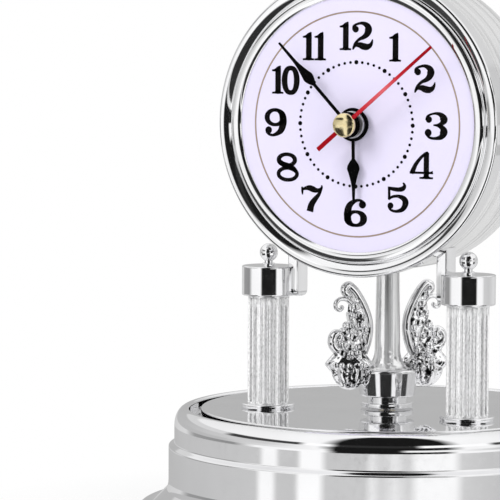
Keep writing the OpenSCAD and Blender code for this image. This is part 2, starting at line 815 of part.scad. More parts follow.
module center_wheel() {
  color("white") in_head() gear_layer(3, center_teeth[1], center_module, 0, minute_out_r + run);
}

module minute_arbor() {
  color("silver") in_head() {
    pipe(minute_out_r, minute_in_r, layer_a(3) - layer_gap, minute_a + hand_t + 0.2);
    gear_layer(2, minute_teeth[0], pair_module(minute_teeth, minute_dist), 0, minute_in_r);
  }
}

module minute_wheel() {
  color("white") in_head() at(minute_at) {
    slab(case_back - knob_h * 0.7, case_inner + pivot_depth - 0.1) circle(minute_wheel_arbor_r, $fn = 48);
    gear_layer(1, hour_teeth[0], pair_module(hour_teeth, minute_dist), minute_pinion_turn);
    gear_layer(2, minute_teeth[1], pair_module(minute_teeth, minute_dist), minute_wheel_turn);
  }
}

module setting_knob() {
  grips = 16;
  color(dark) in_head() at(minute_at) difference() {
    slab(case_back - air - knob_h, case_back - air) difference() {
      circle(knob_r);
      for (i = [0:grips - 1]) rotate(360 * i / grips) translate([knob_r + 0.2, 0]) circle(0.5, $fn = 24);
    }
    slab(case_back - knob_h * 0.7 - snug, case_back) circle(minute_wheel_arbor_r + snug / 2, $fn = 48);
  }
}

module hour_wheel() {
  color("white") in_head() {
    pipe(hour_out_r, hour_in_r, layer_a(1), hour_a + hand_t + collet_h);
    gear_layer(1, hour_teeth[1], pair_module(hour_teeth, minute_dist), 0, hour_in_r);
  }
}

// Hands

// A hand with a thin stem, a spade and a needle tip, pointing up; the spade
// starts at one share of the length and ends at another
module spade_hand(length, from, to, hub_r, bore) {
  steps = 16;
  widest = 0.28;
  function bulge(u) = u < widest ? sin(90 * u / widest) : pow(cos(90 * (u - widest) / (1 - widest)), 2);
  half = [for (i = [0:steps]) let (u = i / steps)
    [stem_w / 2 + (spade_w - stem_w) / 2 * bulge(u), length * (from + (to - from) * u)]];
  difference() {
    union() {
      circle(hub_r);
      polygon(concat([[stem_w / 2, 0]], half, [[0.15, length], [-0.15, length]],
        [for (i = [steps:-1:0]) [-half[i][0], half[i][1]]], [[-stem_w / 2, 0]]));
    }
    circle(bore);
  }
}

module hour_hand() {
  color("black") in_head() slab(hour_a, hour_a + hand_t) rotate(-hour_angle)
    spade_hand(hour_len, 0.44, 0.86, hour_hub_r, hour_out_r + snug);
}

module hour_collet() {
  color("silver") in_head() pipe(collet_r, hour_out_r + snug, hour_a + hand_t, hour_a + hand_t + collet_h);
}

module minute_hand() {
  color("black") in_head() slab(minute_a, minute_a + hand_t) rotate(-minute_angle)
    spade_hand(minute_len, 0.5, 0.78, minute_hub_r, minute_out_r + snug);
}

module second_hand() {
  hub_r = 2;
  tip_w = second_w * 0.7;
  color("crimson") in_head() slab(second_a, second_a + hand_t) rotate(-second_angle) difference() {
    union() {
      circle(hub_r);
      polygon([[second_w / 2, 0], [tip_w / 2, second_len], [-tip_w / 2, second_len], [-second_w / 2, 0]]);
      translate([-second_w * 0.55, -tail_len]) square([second_w * 1.1, tail_len]);
    }
    circle(second_arbor_r + snug);
  }
}

// The domed brass cap on the end of the second hand's arbor
module second_cap() {
  color(brass) in_head() translate([0, 0, second_a + hand_t]) difference() {
    rotate_extrude() polygon(concat([[0, 0]],
      [for (i = [0:8]) let (a = 90 * i / 8)
        [brass_r * cos(a), brass_h * (0.25 + 0.75 * sin(a)) ]],
      [[0, brass_h]]) );
    translate([0, 0, -cut]) cylinder(r = second_arbor_r + snug, h = cut + 0.3, $fn = 48);
  }
}

// Pendulum drive and pendulum

// Where the drive is screwed to the back of the movement
module drive_screw_places() { for (p = [[-8, 2], [-1, 2]]) translate(p) children(); }

arm_left = -drive_half;
arm_right = 3;
arm_up = 7;

module drive_housing() {
  front = -dial_fwd + drive_d / 2;
  back = -dial_fwd - drive_d / 2;
  color("whitesmoke") difference() {
    in_head() difference() {
      union() {
        slab(back, front) translate([-drive_half, drive_bottom])
          square([2 * drive_half, drive_top + 2 - drive_bottom]);
        slab(front - 2, case_back) translate([arm_left, drive_top])
          square([arm_right - arm_left, arm_up - drive_top]);
      }
      slab(back - cut, front - drive_wall) translate([-drive_half + drive_wall, drive_bottom + drive_wall])
        square([2 * (drive_half - drive_wall), drive_ceiling - drive_bottom - drive_wall]);
      slab(back - cut, case_back + cut) drive_screw_places() circle(bracket_screw_r + snug, $fn = 48);
    }
    translate([0, 0, head_z + drive_bottom - cut])
      cylinder(r = shaft_r + run, h = drive_ceiling - drive_bottom + 4 + cut);
  }
}

module drive_screws() {
  seat = -dial_fwd + drive_d / 2 - 2;
  color("silver") in_head() drive_screw_places() {
    slab(seat - 1.5, seat) circle(bracket_screw_r * 1.9);
    slab(seat, case_back_in - pivot_depth) circle(bracket_screw_r);
  }
}

module drive_coil() {
  color("peru") translate([0, 0, head_z + drive_ceiling - 4]) difference() {
    cylinder(r = coil_r, h = 4);
    translate([0, 0, -cut]) cylinder(r = shaft_r + 1, h = 4 + 2 * cut);
  }
}

module drive_magnet() {
  color(dark) translate([0, 0, head_z + drive_ceiling - 9]) difference() {
    cylinder(r = coil_r, h = 3);
    translate([0, 0, -cut]) cylinder(r = shaft_r + snug, h = 3 + 2 * cut);
  }
}

module pendulum_shaft() {
  bottom = deck_z + ring_z;
  color("silver") {
    translate([0, 0, bottom]) cylinder(r = shaft_r, h = head_z + drive_ceiling + 3 - bottom);
    translate([0, 0, bottom - pendulum_gap - guide_depth])
      cylinder(r = guide_r, h = guide_depth + pendulum_gap + 1);
    translate([0, 0, head_z + drive_bottom + drive_wall + run]) cylinder(r = collar_r_drive, h = 2);
  }
}

// The turned spindle's outline from its flared foot to its slim top
function spindle_outline() = concat(
  [for (i = [0:10]) let (a = 90 * i / 10)
    [spindle_r + (spindle_foot_r - spindle_r) * (1 - sin(a)), cup_top + spindle_flare_h * (1 - cos(a))]],
  [[spindle_top_r, spindle_top]]);

module spindle() {
  color(chrome) translate([0, 0, deck_z]) rotate_extrude()
    polygon(concat([[shaft_r + snug, cup_top]], spindle_outline(), [[shaft_r + snug, spindle_top]]));
}

cup_round = 2.2;

// The cup's outline from its underside to its top edge
function cup_outline() = concat(
  arc(cup_r - cup_round, cup_z + cup_round, cup_round, 270, 360, 6),
  arc(cup_r - 1.2, cup_top - 1.2, 1.2, 0, 90, 4));

module hub_cup() {
  color(chrome) translate([0, 0, deck_z]) rotate_extrude()
    polygon(concat([[shaft_r + snug, cup_z]], cup_outline(), [[shaft_r + snug, cup_top]]));
}

module hub_foot() {
  round_r = ring_h / 2;
  waist_r = ring_r - 3;
  color(chrome) translate([0, 0, deck_z]) rotate_extrude() polygon(concat(
    [[shaft_r + snug, ring_z]], arc(ring_r - round_r, ring_z + round_r, round_r, 270, 450, 8),
    [[waist_r, hub_neck_z + 0.3], [waist_r, cup_z - 0.6], [waist_r + 0.8, cup_z], [shaft_r + snug, cup_z]]));
}

// The hub's own space, which the bulbs are hollowed to sit against
module hub_space() {
  grow = 0.05;
  rotate_extrude() polygon(concat([[0, cup_z - grow]],
    [for (p = cup_outline()) p + [grow, p[1] > cup_top - 0.1 ? grow : 0]],
    [for (p = spindle_outline()) p + [grow, 0]], [[0, spindle_top]]));
}

module bulb(arm) {
  waist = 2.2;
  beads = 12;
  bead_r = 0.9;
  outline = concat([[0, bulb_z]],
    [for (i = [0:8]) let (u = i / 8)
      [waist + (bulb_r - waist) * pow(u, 0.55), bulb_z + (bulb_widest - bulb_z) * u]],
    [for (i = [1:8]) let (u = i / 8)
      [bulb_r + (bulb_top_r - bulb_r) * pow(u, 0.7), bulb_widest + (bulb_top - bulb_widest) * u]],
    [[0, bulb_top]]);
  color(chrome) translate([0, 0, deck_z]) rotate(arm) difference() {
    translate([ornament_dist, 0, 0]) {
      rotate_extrude() polygon(outline);
      for (i = [0:beads - 1]) rotate(360 * i / beads)
        translate([bulb_top_r + 0.5, 0, bulb_top - bead_r - 0.1]) sphere(r = bead_r, $fn = 24);
    }
    hub_space();
  }
}

module bulb_left() { bulb(left_arm); }
module bulb_right() { bulb(right_arm); }

// A solid skinned over rings of points, each ring with as many points
module skin(rings) {
  n = len(rings[0]);
  last = len(rings) - 1;
  points = [for (r = rings) each r];
  sides = [for (i = [0:last - 1], j = [0:n - 1]) let (k = (j + 1) % n)
    each [[i * n + j, i * n + k, (i + 1) * n + j], [i * n + k, (i + 1) * n + k, (i + 1) * n + j]]];
  caps = [[for (j = [n - 1:-1:0]) j], [for (j = [0:n - 1]) last * n + j]];
  polyhedron([for (p = points) p], [for (f = concat(sides, caps)) [for (i = [len(f) - 1:-1:0]) f[i]]]);
}

// The leaf's blade: level ovals whose middle bows towards the spindle and back
function leaf_ring(t, sides = 20) =
  let (middle = -leaf_set - leaf_bow * pow(sin(180 * t), 1.5) + leaf_lean * t,
    wide = leaf_w * pow(1 - t, 0.55) + leaf_edge,
    thick = leaf_t * pow(1 - t, 0.5) + leaf_tip,
    z = bulb_top + leaf_h * t)
  [for (j = [0:sides - 1]) let (a = 360 * j / sides)
    [ornament_dist + middle + wide * cos(a), thick * sin(a), z]];

// A curl of the leaf: a tapered tube along a spiral in the leaf's own plane
function curl_rings(x, z, r_from, r_to, a_from, a_to, thick, steps = 16, sides = 10) =
  [for (i = [0:steps]) let (u = i / steps, a = a_from + (a_to - a_from) * u,
      r = r_from + (r_to - r_from) * u, w = thick * (1 - 0.55 * u))
    [for (j = [0:sides - 1]) let (b = 360 * j / sides)
      [x + (r + w * cos(b)) * cos(a), -1.4 * w * sin(b), z + (r + w * cos(b)) * sin(a)]]];

module leaf(arm) {
  steps = 14;
  top_curl = bulb_top + leaf_h * 0.74;
  low_curl = bulb_top + leaf_h * 0.24;
  color(chrome) translate([0, 0, deck_z]) rotate(arm) {
    skin([for (i = [0:steps]) leaf_ring(i / steps)]);
    skin(curl_rings(ornament_dist + leaf_w * 0.6, top_curl, leaf_w / 2, leaf_w / 6, 200, -150,
      leaf_w * 0.15));
    skin(curl_rings(ornament_dist + leaf_w * 0.93, low_curl, leaf_w * 0.57, leaf_w / 5, 215, -150,
      leaf_w / 5));
  }
}

module leaf_left() { leaf(left_arm); }
module leaf_right() { leaf(right_arm); }

module glass_dome() {
  color("lightcyan", 0.3) rotate_extrude() polygon(concat(
    [[dome_in_r, groove_z], [dome_r, groove_z]],
    arc(0, dome_spring, dome_r, 0, 90, 24), arc(0, dome_spring, dome_in_r, 90, 0, 24)));
}

base_shell();
deck_plate();
bottom_cover();
base_feet();
cover_screws();
tie_rods();
tie_nuts();
guide_bush();
column_left();
column_right();
bracket_left();
bracket_right();
finial_left();
finial_right();
head_drum();
bracket_screws();
bezel();
dial();
rear_cover();
movement_front();
movement_back();
dial_nut();
battery();
battery_contacts();
circuit_board();
coil();
stator();
rotor();
intermediate_wheel();
second_wheel();
second_hand();
second_cap();
third_wheel();
center_wheel();
minute_arbor();
minute_hand();
minute_wheel();
setting_knob();
hour_wheel();
hour_hand();
hour_collet();
drive_housing();
drive_screws();
drive_coil();
drive_magnet();
pendulum_shaft();
spindle();
hub_cup();
hub_foot();
bulb_left();
bulb_right();
leaf_left();
leaf_right();
glass_dome();
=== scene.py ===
"""Looks of a glass dome clock: chromed base, columns, drum and pendulum, printed dial and clear dome.

Every piece is a surface worked out as whole arrays in millimetres, in the frame of the solids, and
put into a mesh in metres. A shell is a pair: its points, and its faces as rows of point numbers.
"""
import math

import bmesh
import bpy
import numpy as np
from mathutils import Matrix, Vector


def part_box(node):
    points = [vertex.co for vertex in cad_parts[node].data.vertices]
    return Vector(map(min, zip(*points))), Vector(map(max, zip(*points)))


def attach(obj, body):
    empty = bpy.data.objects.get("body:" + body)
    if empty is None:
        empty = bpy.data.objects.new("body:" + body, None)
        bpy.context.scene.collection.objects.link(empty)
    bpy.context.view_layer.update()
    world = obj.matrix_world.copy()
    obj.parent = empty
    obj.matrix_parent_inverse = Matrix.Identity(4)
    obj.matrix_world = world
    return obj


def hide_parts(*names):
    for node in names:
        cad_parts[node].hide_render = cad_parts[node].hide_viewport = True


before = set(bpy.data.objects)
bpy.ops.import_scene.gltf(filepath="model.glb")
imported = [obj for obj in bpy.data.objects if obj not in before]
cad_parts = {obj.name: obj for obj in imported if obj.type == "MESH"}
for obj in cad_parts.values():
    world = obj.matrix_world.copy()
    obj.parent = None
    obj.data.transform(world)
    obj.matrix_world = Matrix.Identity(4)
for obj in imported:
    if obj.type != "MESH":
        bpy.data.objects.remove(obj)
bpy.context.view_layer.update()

MM = 0.001


def edges(node):
    """Lowest and highest corner of a solid, in millimetres."""
    low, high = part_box(node)
    return np.array(low) / MM, np.array(high) / MM


# Places taken from the solids
DECK_Z = edges("deck_plate")[1][2]
HEAD_Z = (edges("bezel")[0][2] + edges("bezel")[1][2]) / 2
DIAL_Y = edges("dial")[0][1]
BEZEL_R = (edges("bezel")[1][0] - edges("bezel")[0][0]) / 2
FOOT_R = edges("base_shell")[1][0]
FEET_H = edges("base_feet")[1][2]
COLUMN_X = (edges("column_right")[0][0] + edges("column_right")[1][0]) / 2
COLUMN_Y = (edges("column_right")[0][1] + edges("column_right")[1][1]) / 2
CAP_LOW = edges("column_right")[1][2]
CHEEK_IN = edges("bracket_right")[0][0]
DRUM_BACK = edges("head_drum")[1][1] - DIAL_Y
DOME_R = edges("glass_dome")[1][0]
DOME_LOW = edges("glass_dome")[0][2]
DOME_TOP = edges("glass_dome")[1][2]

# Sizes of the base, as its solid has them but for the rim's top, which is level with the deck
FOOT_H = 7.4
FOOT_STEP = 1.8
FLARE_R = 8.9
BAND_DRAFT = 0.4
BAND_R = FOOT_R - FOOT_STEP - FLARE_R - BAND_DRAFT
BAND_H = 11.2
BAND_STEP = 1.6
SLOPE_H = 3
RIM_R = BAND_R - BAND_STEP
RIM_TOP = DECK_Z
RIM_W = 5.3
RIM_ROUND = 3.9
RIM_FALL = 6.2
GROOVE_R = RIM_R - RIM_W
BASE_WALL = 2.2
GROOVE_LIP = 1
DECK_R = edges("deck_plate")[1][0]
LEDGE_R = DECK_R - 6
DECK_T = 2

# Sizes of the columns and brackets
SHAFT_R = 7.3
FLUTES = 20
FLUTE_R = 0.85
FLUTE_LAND = 0.4
COLLAR_R = 9.6
COLLAR_H = 1.4
CAP_R = 9.4
CHEEK_T = 3.9
CHEEK_D = 8.2
CHEEK_FWD = 0.7
CHEEK_ROUND = 2.5
NECK_R = 1.5
NECK_H = 1.7
BALL_R = 3.2
BALL_SUNK = 0.3
CAP_TOP = edges("finial_right")[1][2] - 2 * BALL_R - NECK_H + BALL_SUNK

# Sizes of the head and its hands
DIAL_R = 43.8
DIAL_SEAT = 1.2
BEAD_W = 4
CREST_H = 1
BEZEL_D = 6.5
BEZEL_EDGE = 1.1
BEZEL_PROUD = 0.83
DRUM_R = BEZEL_R - BEZEL_PROUD
DRUM_BEVEL = 3
DRUM_SEAT = -1
DRUM_WALL = 1.8
SEAT_W = 9.4
REAR_FLANGE = 7.3
REAR_T = 2
HAND_T = 0.5
HOUR_LIFT = 2.3
MINUTE_LIFT = 6
SECOND_LIFT = 8.8
HOUR_TURN = 179
MINUTE_TURN = 316.2
SECOND_TURN = 49.8
HOUR_BORE = 2.63
SECOND_BORE = 0.73

# Each hand's length, where its spade starts and ends along it, its width, and its hub's radius and bore
HOUR_HAND = (26.8, 0.44, 0.84, 4.7, 5.75, HOUR_BORE)
MINUTE_HAND = (38.3, 0.49, 0.79, 3.9, 4.45, 1.58)

# Sizes of the pendulum above the deck
CUP_R = 10.8
CUP_LOW = 4.4
CUP_TOP = 14.1
RING_R = 9.3
RING_LOW = 0.5
RING_H = 1.7
CUP_ROUND = 0.7
CUP_DRAFT = 1
CUP_LIP = 1
RING_EDGE = 0.3
NECK_IN = 2.1
SPINDLE_R = 4.5
SPINDLE_FOOT_R = 8.6
SPINDLE_FLARE = 7
SPINDLE_TOP_R = 4.05
SPINDLE_TOP = edges("spindle")[1][2] - DECK_Z
SHAFT_BORE = 1.53
ORNAMENT_X = 14.7
LEFT_ARM = 229.4
BULB_R = 8.5
BULB_LOW = 7.2
BULB_TOP = 20
BULB_WIDEST = 15.9
BEAD_R = 1.1

# The dome's wall and the small bevel of its ground foot
DOME_WALL = 2.4
DOME_EDGE = 0.4

# The viewpoint, which the studio's front faces
CAMERA_AT = (467.12, -1020.95, 182.39)
CAMERA_AZIMUTH = 27.063
CAMERA_ELEVATION = 4.282
CAMERA_ROLL = -0.269
CAMERA_LENS = 230.7


# Curves and shells

def arc(x, y, r, start, end, steps=12):
    """Points on a circle's arc in a profile's plane, from one angle to another in degrees."""
    a = np.radians(np.linspace(start, end, steps + 1))
    return np.c_[x + r * np.cos(a), y + r * np.sin(a)]


def rounded_top(r, z, soft, steps):
    """The round from an upright wall at a radius inwards to a top at a height."""
    return arc(r - soft, z - soft, soft, 0, 90, steps)


def rounded_foot(r, z, soft, steps):
    """The round from an underside at a height outwards to an upright wall at a radius."""
    return arc(r - soft, z + soft, soft, -90, 0, steps)


def full_turn(steps):
    """Angles evenly once round."""
    return np.linspace(0, 2 * np.pi, steps, endpoint=False)


def rings(r, a, z):
    """Points at a radius, an angle round +Z and a height, ring by ring."""
    return np.stack([r * np.cos(a), r * np.sin(a), z + 0 * a], -1)


def outline(*stretches):
    """One profile out of points and arcs, end to end."""
    return np.vstack([np.atleast_2d(np.asarray(s, float)) for s in stretches])


def through(points, steps, closed=False):
    """A smooth curve through the points: each stretch is the cubic that heads along its neighbours' chord."""
    p = np.asarray(points, float)
    if closed:
        padded = np.vstack([p[-1:], p, p[:2]])
        t = np.linspace(0, len(p), steps, endpoint=False)
        i = np.minimum(t.astype(int), len(p) - 1)
    else:
        padded = np.vstack([2 * p[0] - p[1], p, 2 * p[-1] - p[-2]])
        t = np.linspace(0, len(p) - 1, steps)
        i = np.minimum(t.astype(int), len(p) - 2)
    u = (t - i)[:, None]
    a, b, c, d = (padded[i + k] for k in range(4))
    return 0.5 * (2 * b + (c - a) * u + (2 * a - 5 * b + 4 * c - d) * u**2 + (3 * b - a - 3 * c + d) * u**3)


def grid_shell(points, round_rows=False):
    """A shell over rows of points: each row is a closed ring, and with round_rows the rows close up too."""
    rows, ring = points.shape[:2]
    i = np.arange(rows if round_rows else rows - 1)[:, None]
    j = np.arange(ring)[None, :]
    down, right = (i + 1) % rows, (j + 1) % ring
    quads = np.stack([i * ring + j, down * ring + j, down * ring + right, i * ring + right], -1)
    return points.reshape(-1, 3), quads.reshape(-1, 4).tolist()


def capped(points):
    """A shell over rings that is closed by a flat face at each end."""
    flat, faces = grid_shell(points)
    rows, ring = points.shape[:2]
    last = (rows - 1) * ring
    return flat, faces + [list(range(ring)), list(range(last, last + ring))]


def turned(profile, steps=256, loop=True):
    """A shape turned about +Z: a profile of (radius, height) carried once round the axis. A profile that
    starts and ends on the axis is no loop."""
    profile = evened(profile)
    return grid_shell(rings(profile[:, :1], full_turn(steps), profile[:, 1:]), round_rows=loop)


def evened(profile, long=2.5, near=0.25):
    """The profile with a point close to both ends of each long straight stretch, so that a wall is shaded
    evenly up to its rounded edges."""
    along = np.r_[0, np.cumsum(np.hypot(*np.diff(profile, axis=0).T))]
    stretch = np.diff(along) > long
    places = np.unique(np.r_[along, along[:-1][stretch] + near, along[1:][stretch] - near])
    return np.c_[np.interp(places, along, profile[:, 0]), np.interp(places, along, profile[:, 1])]


def moved(shell, x=0, y=0, z=0):
    """The shell shifted in the clock's frame."""
    return shell[0] + [x, y, z], shell[1]


def spun(shell, degrees):
    """The shell turned about +Z."""
    a = math.radians(degrees)
    c, s = math.cos(a), math.sin(a)
    x, y, z = shell[0].T
    return np.c_[c * x - s * y, s * x + c * y, z], shell[1]


def in_head(shell):
    """From the dial's own frame, with x right, y up and z towards the viewer, to the clock's."""
    x, y, z = shell[0].T
    return np.c_[x, DIAL_Y - z, HEAD_Z + y], shell[1]


def clockwise(shell, degrees):
    """The shell turned clockwise on the dial."""
    return spun(shell, -degrees)


def ball_at(x, y, z, r, rings=10, sides=16):
    """A ball: rings of radius r sin(a) at heights r cos(a)."""
    a = np.linspace(0, np.pi, rings + 1)
    return moved(turned(np.c_[r * np.sin(a), -r * np.cos(a)], sides, loop=False), x, y, z)


def piece(name, shells, finish, body, slot, *nodes, sharp=35):
    """Puts shells into one mesh, faces outwards, smooth but for edges sharper than an angle, and lets it
    ride on a body in place of the solids that it stands for."""
    counts = np.cumsum([0] + [len(s[0]) for s in shells])
    points = np.vstack([s[0] for s in shells]) * MM
    faces = [[v + int(first) for v in face] for first, s in zip(counts, shells) for face in s[1]]
    mesh = bpy.data.meshes.new(name)
    mesh.from_pydata(points.tolist(), [], faces)
    close_up(mesh)
    mesh.shade_smooth()
    mesh.set_sharp_from_angle(angle=math.radians(sharp))
    mesh.materials.append(finish)
    made = set_up(name, mesh)
    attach(made, body)
    if nodes:
        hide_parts(*nodes)
    return made


def set_up(name, data):
    """A new object in the scene."""
    made = bpy.data.objects.new(name, data)
    bpy.context.scene.collection.objects.link(made)
    return made


def close_up(mesh):
    """Joins the points that meet at seams and poles, and turns every face outwards."""
    work = bmesh.new()
    work.from_mesh(mesh)
    bmesh.ops.remove_doubles(work, verts=work.verts, dist=1e-7)
    bmesh.ops.dissolve_degenerate(work, edges=work.edges, dist=1e-8)
    bmesh.ops.recalc_face_normals(work, faces=work.faces)
    work.to_mesh(mesh)
    work.free()


# Finishes

METAL = {"Metallic": 1}
FINE_LINES = 0.00002
PAINT_GRAIN = 0.000004


def feed(tree, node, sockets):
    """Gives each named socket of a node its value, or a link from another node's socket."""
    for key, source in dict(sockets).items():
        if isinstance(source, bpy.types.NodeSocket):
            tree.links.new(source, node.inputs[key])
        else:
            node.inputs[key].default_value = source


def blank(name, sockets=()):
    """A new finish with its shader, and what the shader's sockets are fed."""
    finish = bpy.data.materials.new(name)
    finish.use_nodes = True
    tree = finish.node_tree
    shader = tree.nodes["Principled BSDF"]
    feed(tree, shader, sockets)
    return finish, tree, shader


def add(tree, kind, sockets=(), **settings):
    """A node with its settings, and what its sockets are fed."""
    node = tree.nodes.new(kind)
    for key, value in settings.items():
        setattr(node, key, value)
    feed(tree, node, sockets)
    return node


def own_place(tree):
    """A point's place in the piece's own frame."""
    return add(tree, "ShaderNodeTexCoord").outputs["Object"]


def along(tree, place, toward):
    """How far a place lies along a direction."""
    return add(tree, "ShaderNodeVectorMath", {0: place, 1: toward}, operation="DOT_PRODUCT").outputs["Value"]


def grey(value):
    """A colour without hue."""
    return value, value, value


def noise(tree, scale, detail=3, roughness=0.5, stretch=None):
    """Noise in the piece's own place, by so many grains a metre, drawn out along an axis if asked."""
    place = own_place(tree)
    if stretch:
        place = add(tree, "ShaderNodeMapping", {"Vector": place, "Scale": stretch}).outputs["Vector"]
    grain = {"Vector": place, "Scale": scale, "Detail": detail, "Roughness": roughness}
    return add(tree, "ShaderNodeTexNoise", grain).outputs["Fac"]


def spread(tree, source, low, high, start=0.3, end=0.7):
    """Maps a grain to a range of values."""
    span = {"Value": source, "From Min": start, "From Max": end, "To Min": low, "To Max": high}
    return add(tree, "ShaderNodeMapRange", span).outputs["Result"]


def tones(tree, source, *stops):
    """Maps a grain to colours: each stop is a place from 0 to 1 and a colour."""
    node = add(tree, "ShaderNodeValToRGB", {"Fac": source})
    ramp = node.color_ramp
    while len(ramp.elements) < len(stops):
        ramp.elements.new(1)
    for element, (place, colour) in zip(ramp.elements, stops):
        element.position = place
        element.color = (*colour, 1)
    return node.outputs["Color"]


def dress(tree, shader, colour, roughness, grain, depth):
    """Feeds a shader its colour and roughness, and raises the surface by a grain, to a depth in metres."""
    bump = add(tree, "ShaderNodeBump", {"Height": grain, "Distance": depth, "Strength": 1})
    feed(tree, shader, {"Base Color": colour, "Roughness": roughness, "Normal": bump.outputs["Normal"]})


def wear(tree, smooth, worn):
    """The roughness of plate, from smooth to worn in fine marks."""
    return spread(tree, noise(tree, 420, 6, 0.65), smooth, worn, 0.4, 0.75)


def chrome(name, tint, ripple, ripple_scale=55, smooth=0.03, worn=0.09):
    """Bright plate: a slightly rippled mirror with faint clouding and finer wear marks."""
    finish, tree, shader = blank(name, METAL)
    dull = tuple(0.93 * c for c in tint)
    dress(tree, shader, tones(tree, noise(tree, 38, 4), (0.3, dull), (0.65, tint)), wear(tree, smooth, worn),
          noise(tree, ripple_scale, 2), ripple)
    return finish


def drawn_chrome(name, light, dark, streak_scale, mirror, smooth, worn, stretch=(1, 1, 0.03)):
    """Plate over drawn metal: long streaks, lighter and darker, part mirror and part white bloom."""
    finish, tree, shader = blank(name, {"Metallic": mirror})
    streak = noise(tree, streak_scale, 2, 0.5, stretch)
    dress(tree, shader, tones(tree, streak, (0.36, grey(dark)), (0.52, grey(light))),
          wear(tree, smooth, worn), streak, FINE_LINES)
    return finish


def worked_chrome(name, dimples, depth, pit):
    """Plate over chased metal: so many dimples a metre to a depth, with painted shade in the pits: their
    colour is painted near black, standing for shade and dark reflections.
    """
    finish, tree, shader = blank(name, METAL)
    dimple = noise(tree, dimples, 1)
    # painted shade: where the dimple grain is low, the plate is coloured near black to stand for shade and
    # dark reflections in the pits
    dress(tree, shader, tones(tree, dimple, (pit, grey(0.03)), (pit + 0.08, (0.98, 0.98, 0.99))),
          spread(tree, noise(tree, 900, 4), 0.04, 0.12), dimple, depth)
    return finish


def paint(name, colour, shade, roughness, grain_scale, gloss):
    """Satin paint: two close tones, an even sheen and an orange-peel grain."""
    finish, tree, shader = blank(name, {"Specular IOR Level": gloss})
    grain = noise(tree, grain_scale, 3)
    dress(tree, shader, tones(tree, noise(tree, 30, 4), (0.3, shade), (0.65, colour)),
          spread(tree, grain, 0.8 * roughness, 1.2 * roughness), grain, PAINT_GRAIN)
    return finish


def plastic(name, colour, shade, roughness=0.4, grain_scale=900, depth=0.00003):
    """Moulded plastic: faint flow clouds and a fine spark-eroded grain."""
    finish, tree, shader = blank(name)
    flow = noise(tree, 45, 5, 0.6, (1, 1, 0.35))
    grain = noise(tree, grain_scale, 4, 0.6)
    dress(tree, shader, tones(tree, flow, (0.25, shade), (0.7, colour)),
          spread(tree, grain, roughness - 0.08, roughness + 0.1), grain, depth)
    return finish


def brushed(name, colour, shade, roughness, stretch, scale=260):
    """Metal with fine lines drawn along one axis and a few darker stains."""
    finish, tree, shader = blank(name, METAL)
    lines = noise(tree, scale, 4, 0.6, stretch)
    dress(tree, shader, tones(tree, lines, (0.3, shade), (0.62, colour)),
          spread(tree, lines, roughness - 0.07, roughness + 0.1), lines, FINE_LINES)
    return finish


CHROME = chrome("bright_chrome", (0.90, 0.90, 0.91), 0.00002)
FLUTED_CHROME = drawn_chrome("fluted_chrome", 1, 0.7, 2600, 0.5, 0.04, 0.12, (1, 1, 0.35))
SPINDLE_CHROME = drawn_chrome("spindle_chrome", 0.98, 0.55, 520, 0.6, 0.12, 0.22)
DRUM_CHROME = drawn_chrome("spun_drum_chrome", 0.99, 0.7, 330, 0.85, 0.06, 0.14, (0.04, 1, 0.04))
CAST_CHROME = chrome("cast_chrome", (0.94, 0.94, 0.95), 0.00006, 260, 0.03, 0.09)
PIT_SHADED_CHROME = worked_chrome("worked_chrome", 430, 0.0006, 0.36)
PIT_SHADED_BULB_CHROME = worked_chrome("chased_bulb_chrome", 560, 0.0004, 0.33)
DECK_CHROME = chrome("mirror_deck_chrome", (0.88, 0.88, 0.89), 0.00002, 30, 0.02, 0.05)
DIAL_PAINT = paint("lavender_dial_paint", (0.765, 0.72, 0.895), (0.75, 0.705, 0.88), 0.55, 1500, 0.3)
NUMBER_INK = paint("number_ink", (0.003, 0.0025, 0.0025), (0.006, 0.005, 0.005), 0.6, 2400, 0.02)
RING_INK = paint("gold_brown_ink", (0.30, 0.225, 0.175), (0.38, 0.30, 0.24), 0.5, 2400, 0.2)
HAND_PAINT = paint("black_hand_paint", (0.0006, 0.0006, 0.0008), grey(0.001), 0.4, 1800, 0.02)
BLACK_PLASTIC = plastic("black_moulding", (0.022, 0.022, 0.024), (0.032, 0.032, 0.034), 0.45)
CASE_PLASTIC = plastic("case_moulding", (0.72, 0.72, 0.70), (0.66, 0.66, 0.63), 0.42)
GEAR_PLASTIC = plastic("acetal_gear", (0.78, 0.77, 0.70), (0.72, 0.70, 0.62), 0.3, 1600, 0.00001)
RUBBER = plastic("foot_rubber", grey(0.018), grey(0.03), 0.75, 2200, 0.00006)
STEEL = brushed("zinc_steel", (0.62, 0.62, 0.64), (0.50, 0.50, 0.52), 0.28, (1, 1, 0.1))
IRON = brushed("stamped_iron", (0.40, 0.40, 0.41), (0.30, 0.30, 0.31), 0.38, (1, 0.3, 0.3))
BRASS = brushed("polished_brass", (0.88, 0.76, 0.46), (0.80, 0.66, 0.36), 0.13, (1, 0.2, 1), 500)
ALUMINIUM = brushed("satin_aluminium", (0.88, 0.88, 0.90), (0.80, 0.80, 0.82), 0.5, (1, 0.2, 1), 500)


def red_lacquer():
    """The second hand's red, with a painted sheen: paler along the middle of the long arm, where a highlight
    would run.
    """
    finish, tree, shader = blank("red_lacquer", {"Specular IOR Level": 0.05})
    a = math.radians(SECOND_TURN)
    hub, reach = HEAD_Z * MM * math.cos(a), 0.042
    out = along(tree, own_place(tree), (math.sin(a), 0, math.cos(a)))
    share = spread(tree, out, 0, 1, hub, hub + reach)
    # painted sheen: the pale stop is a highlight painted along the middle of the long arm, between the deep
    # red ends
    deep, bright, pale = (0.31, 0.002, 0.007), (0.5, 0.02, 0.032), (0.68, 0.12, 0.14)
    stops = (0.05, deep), (0.2, bright), (0.45, pale), (0.62, bright), (0.78, deep)
    grain = noise(tree, 1800, 3)
    dress(tree, shader, tones(tree, share, *stops), spread(tree, grain, 0.3, 0.42), grain, PAINT_GRAIN)
    return finish


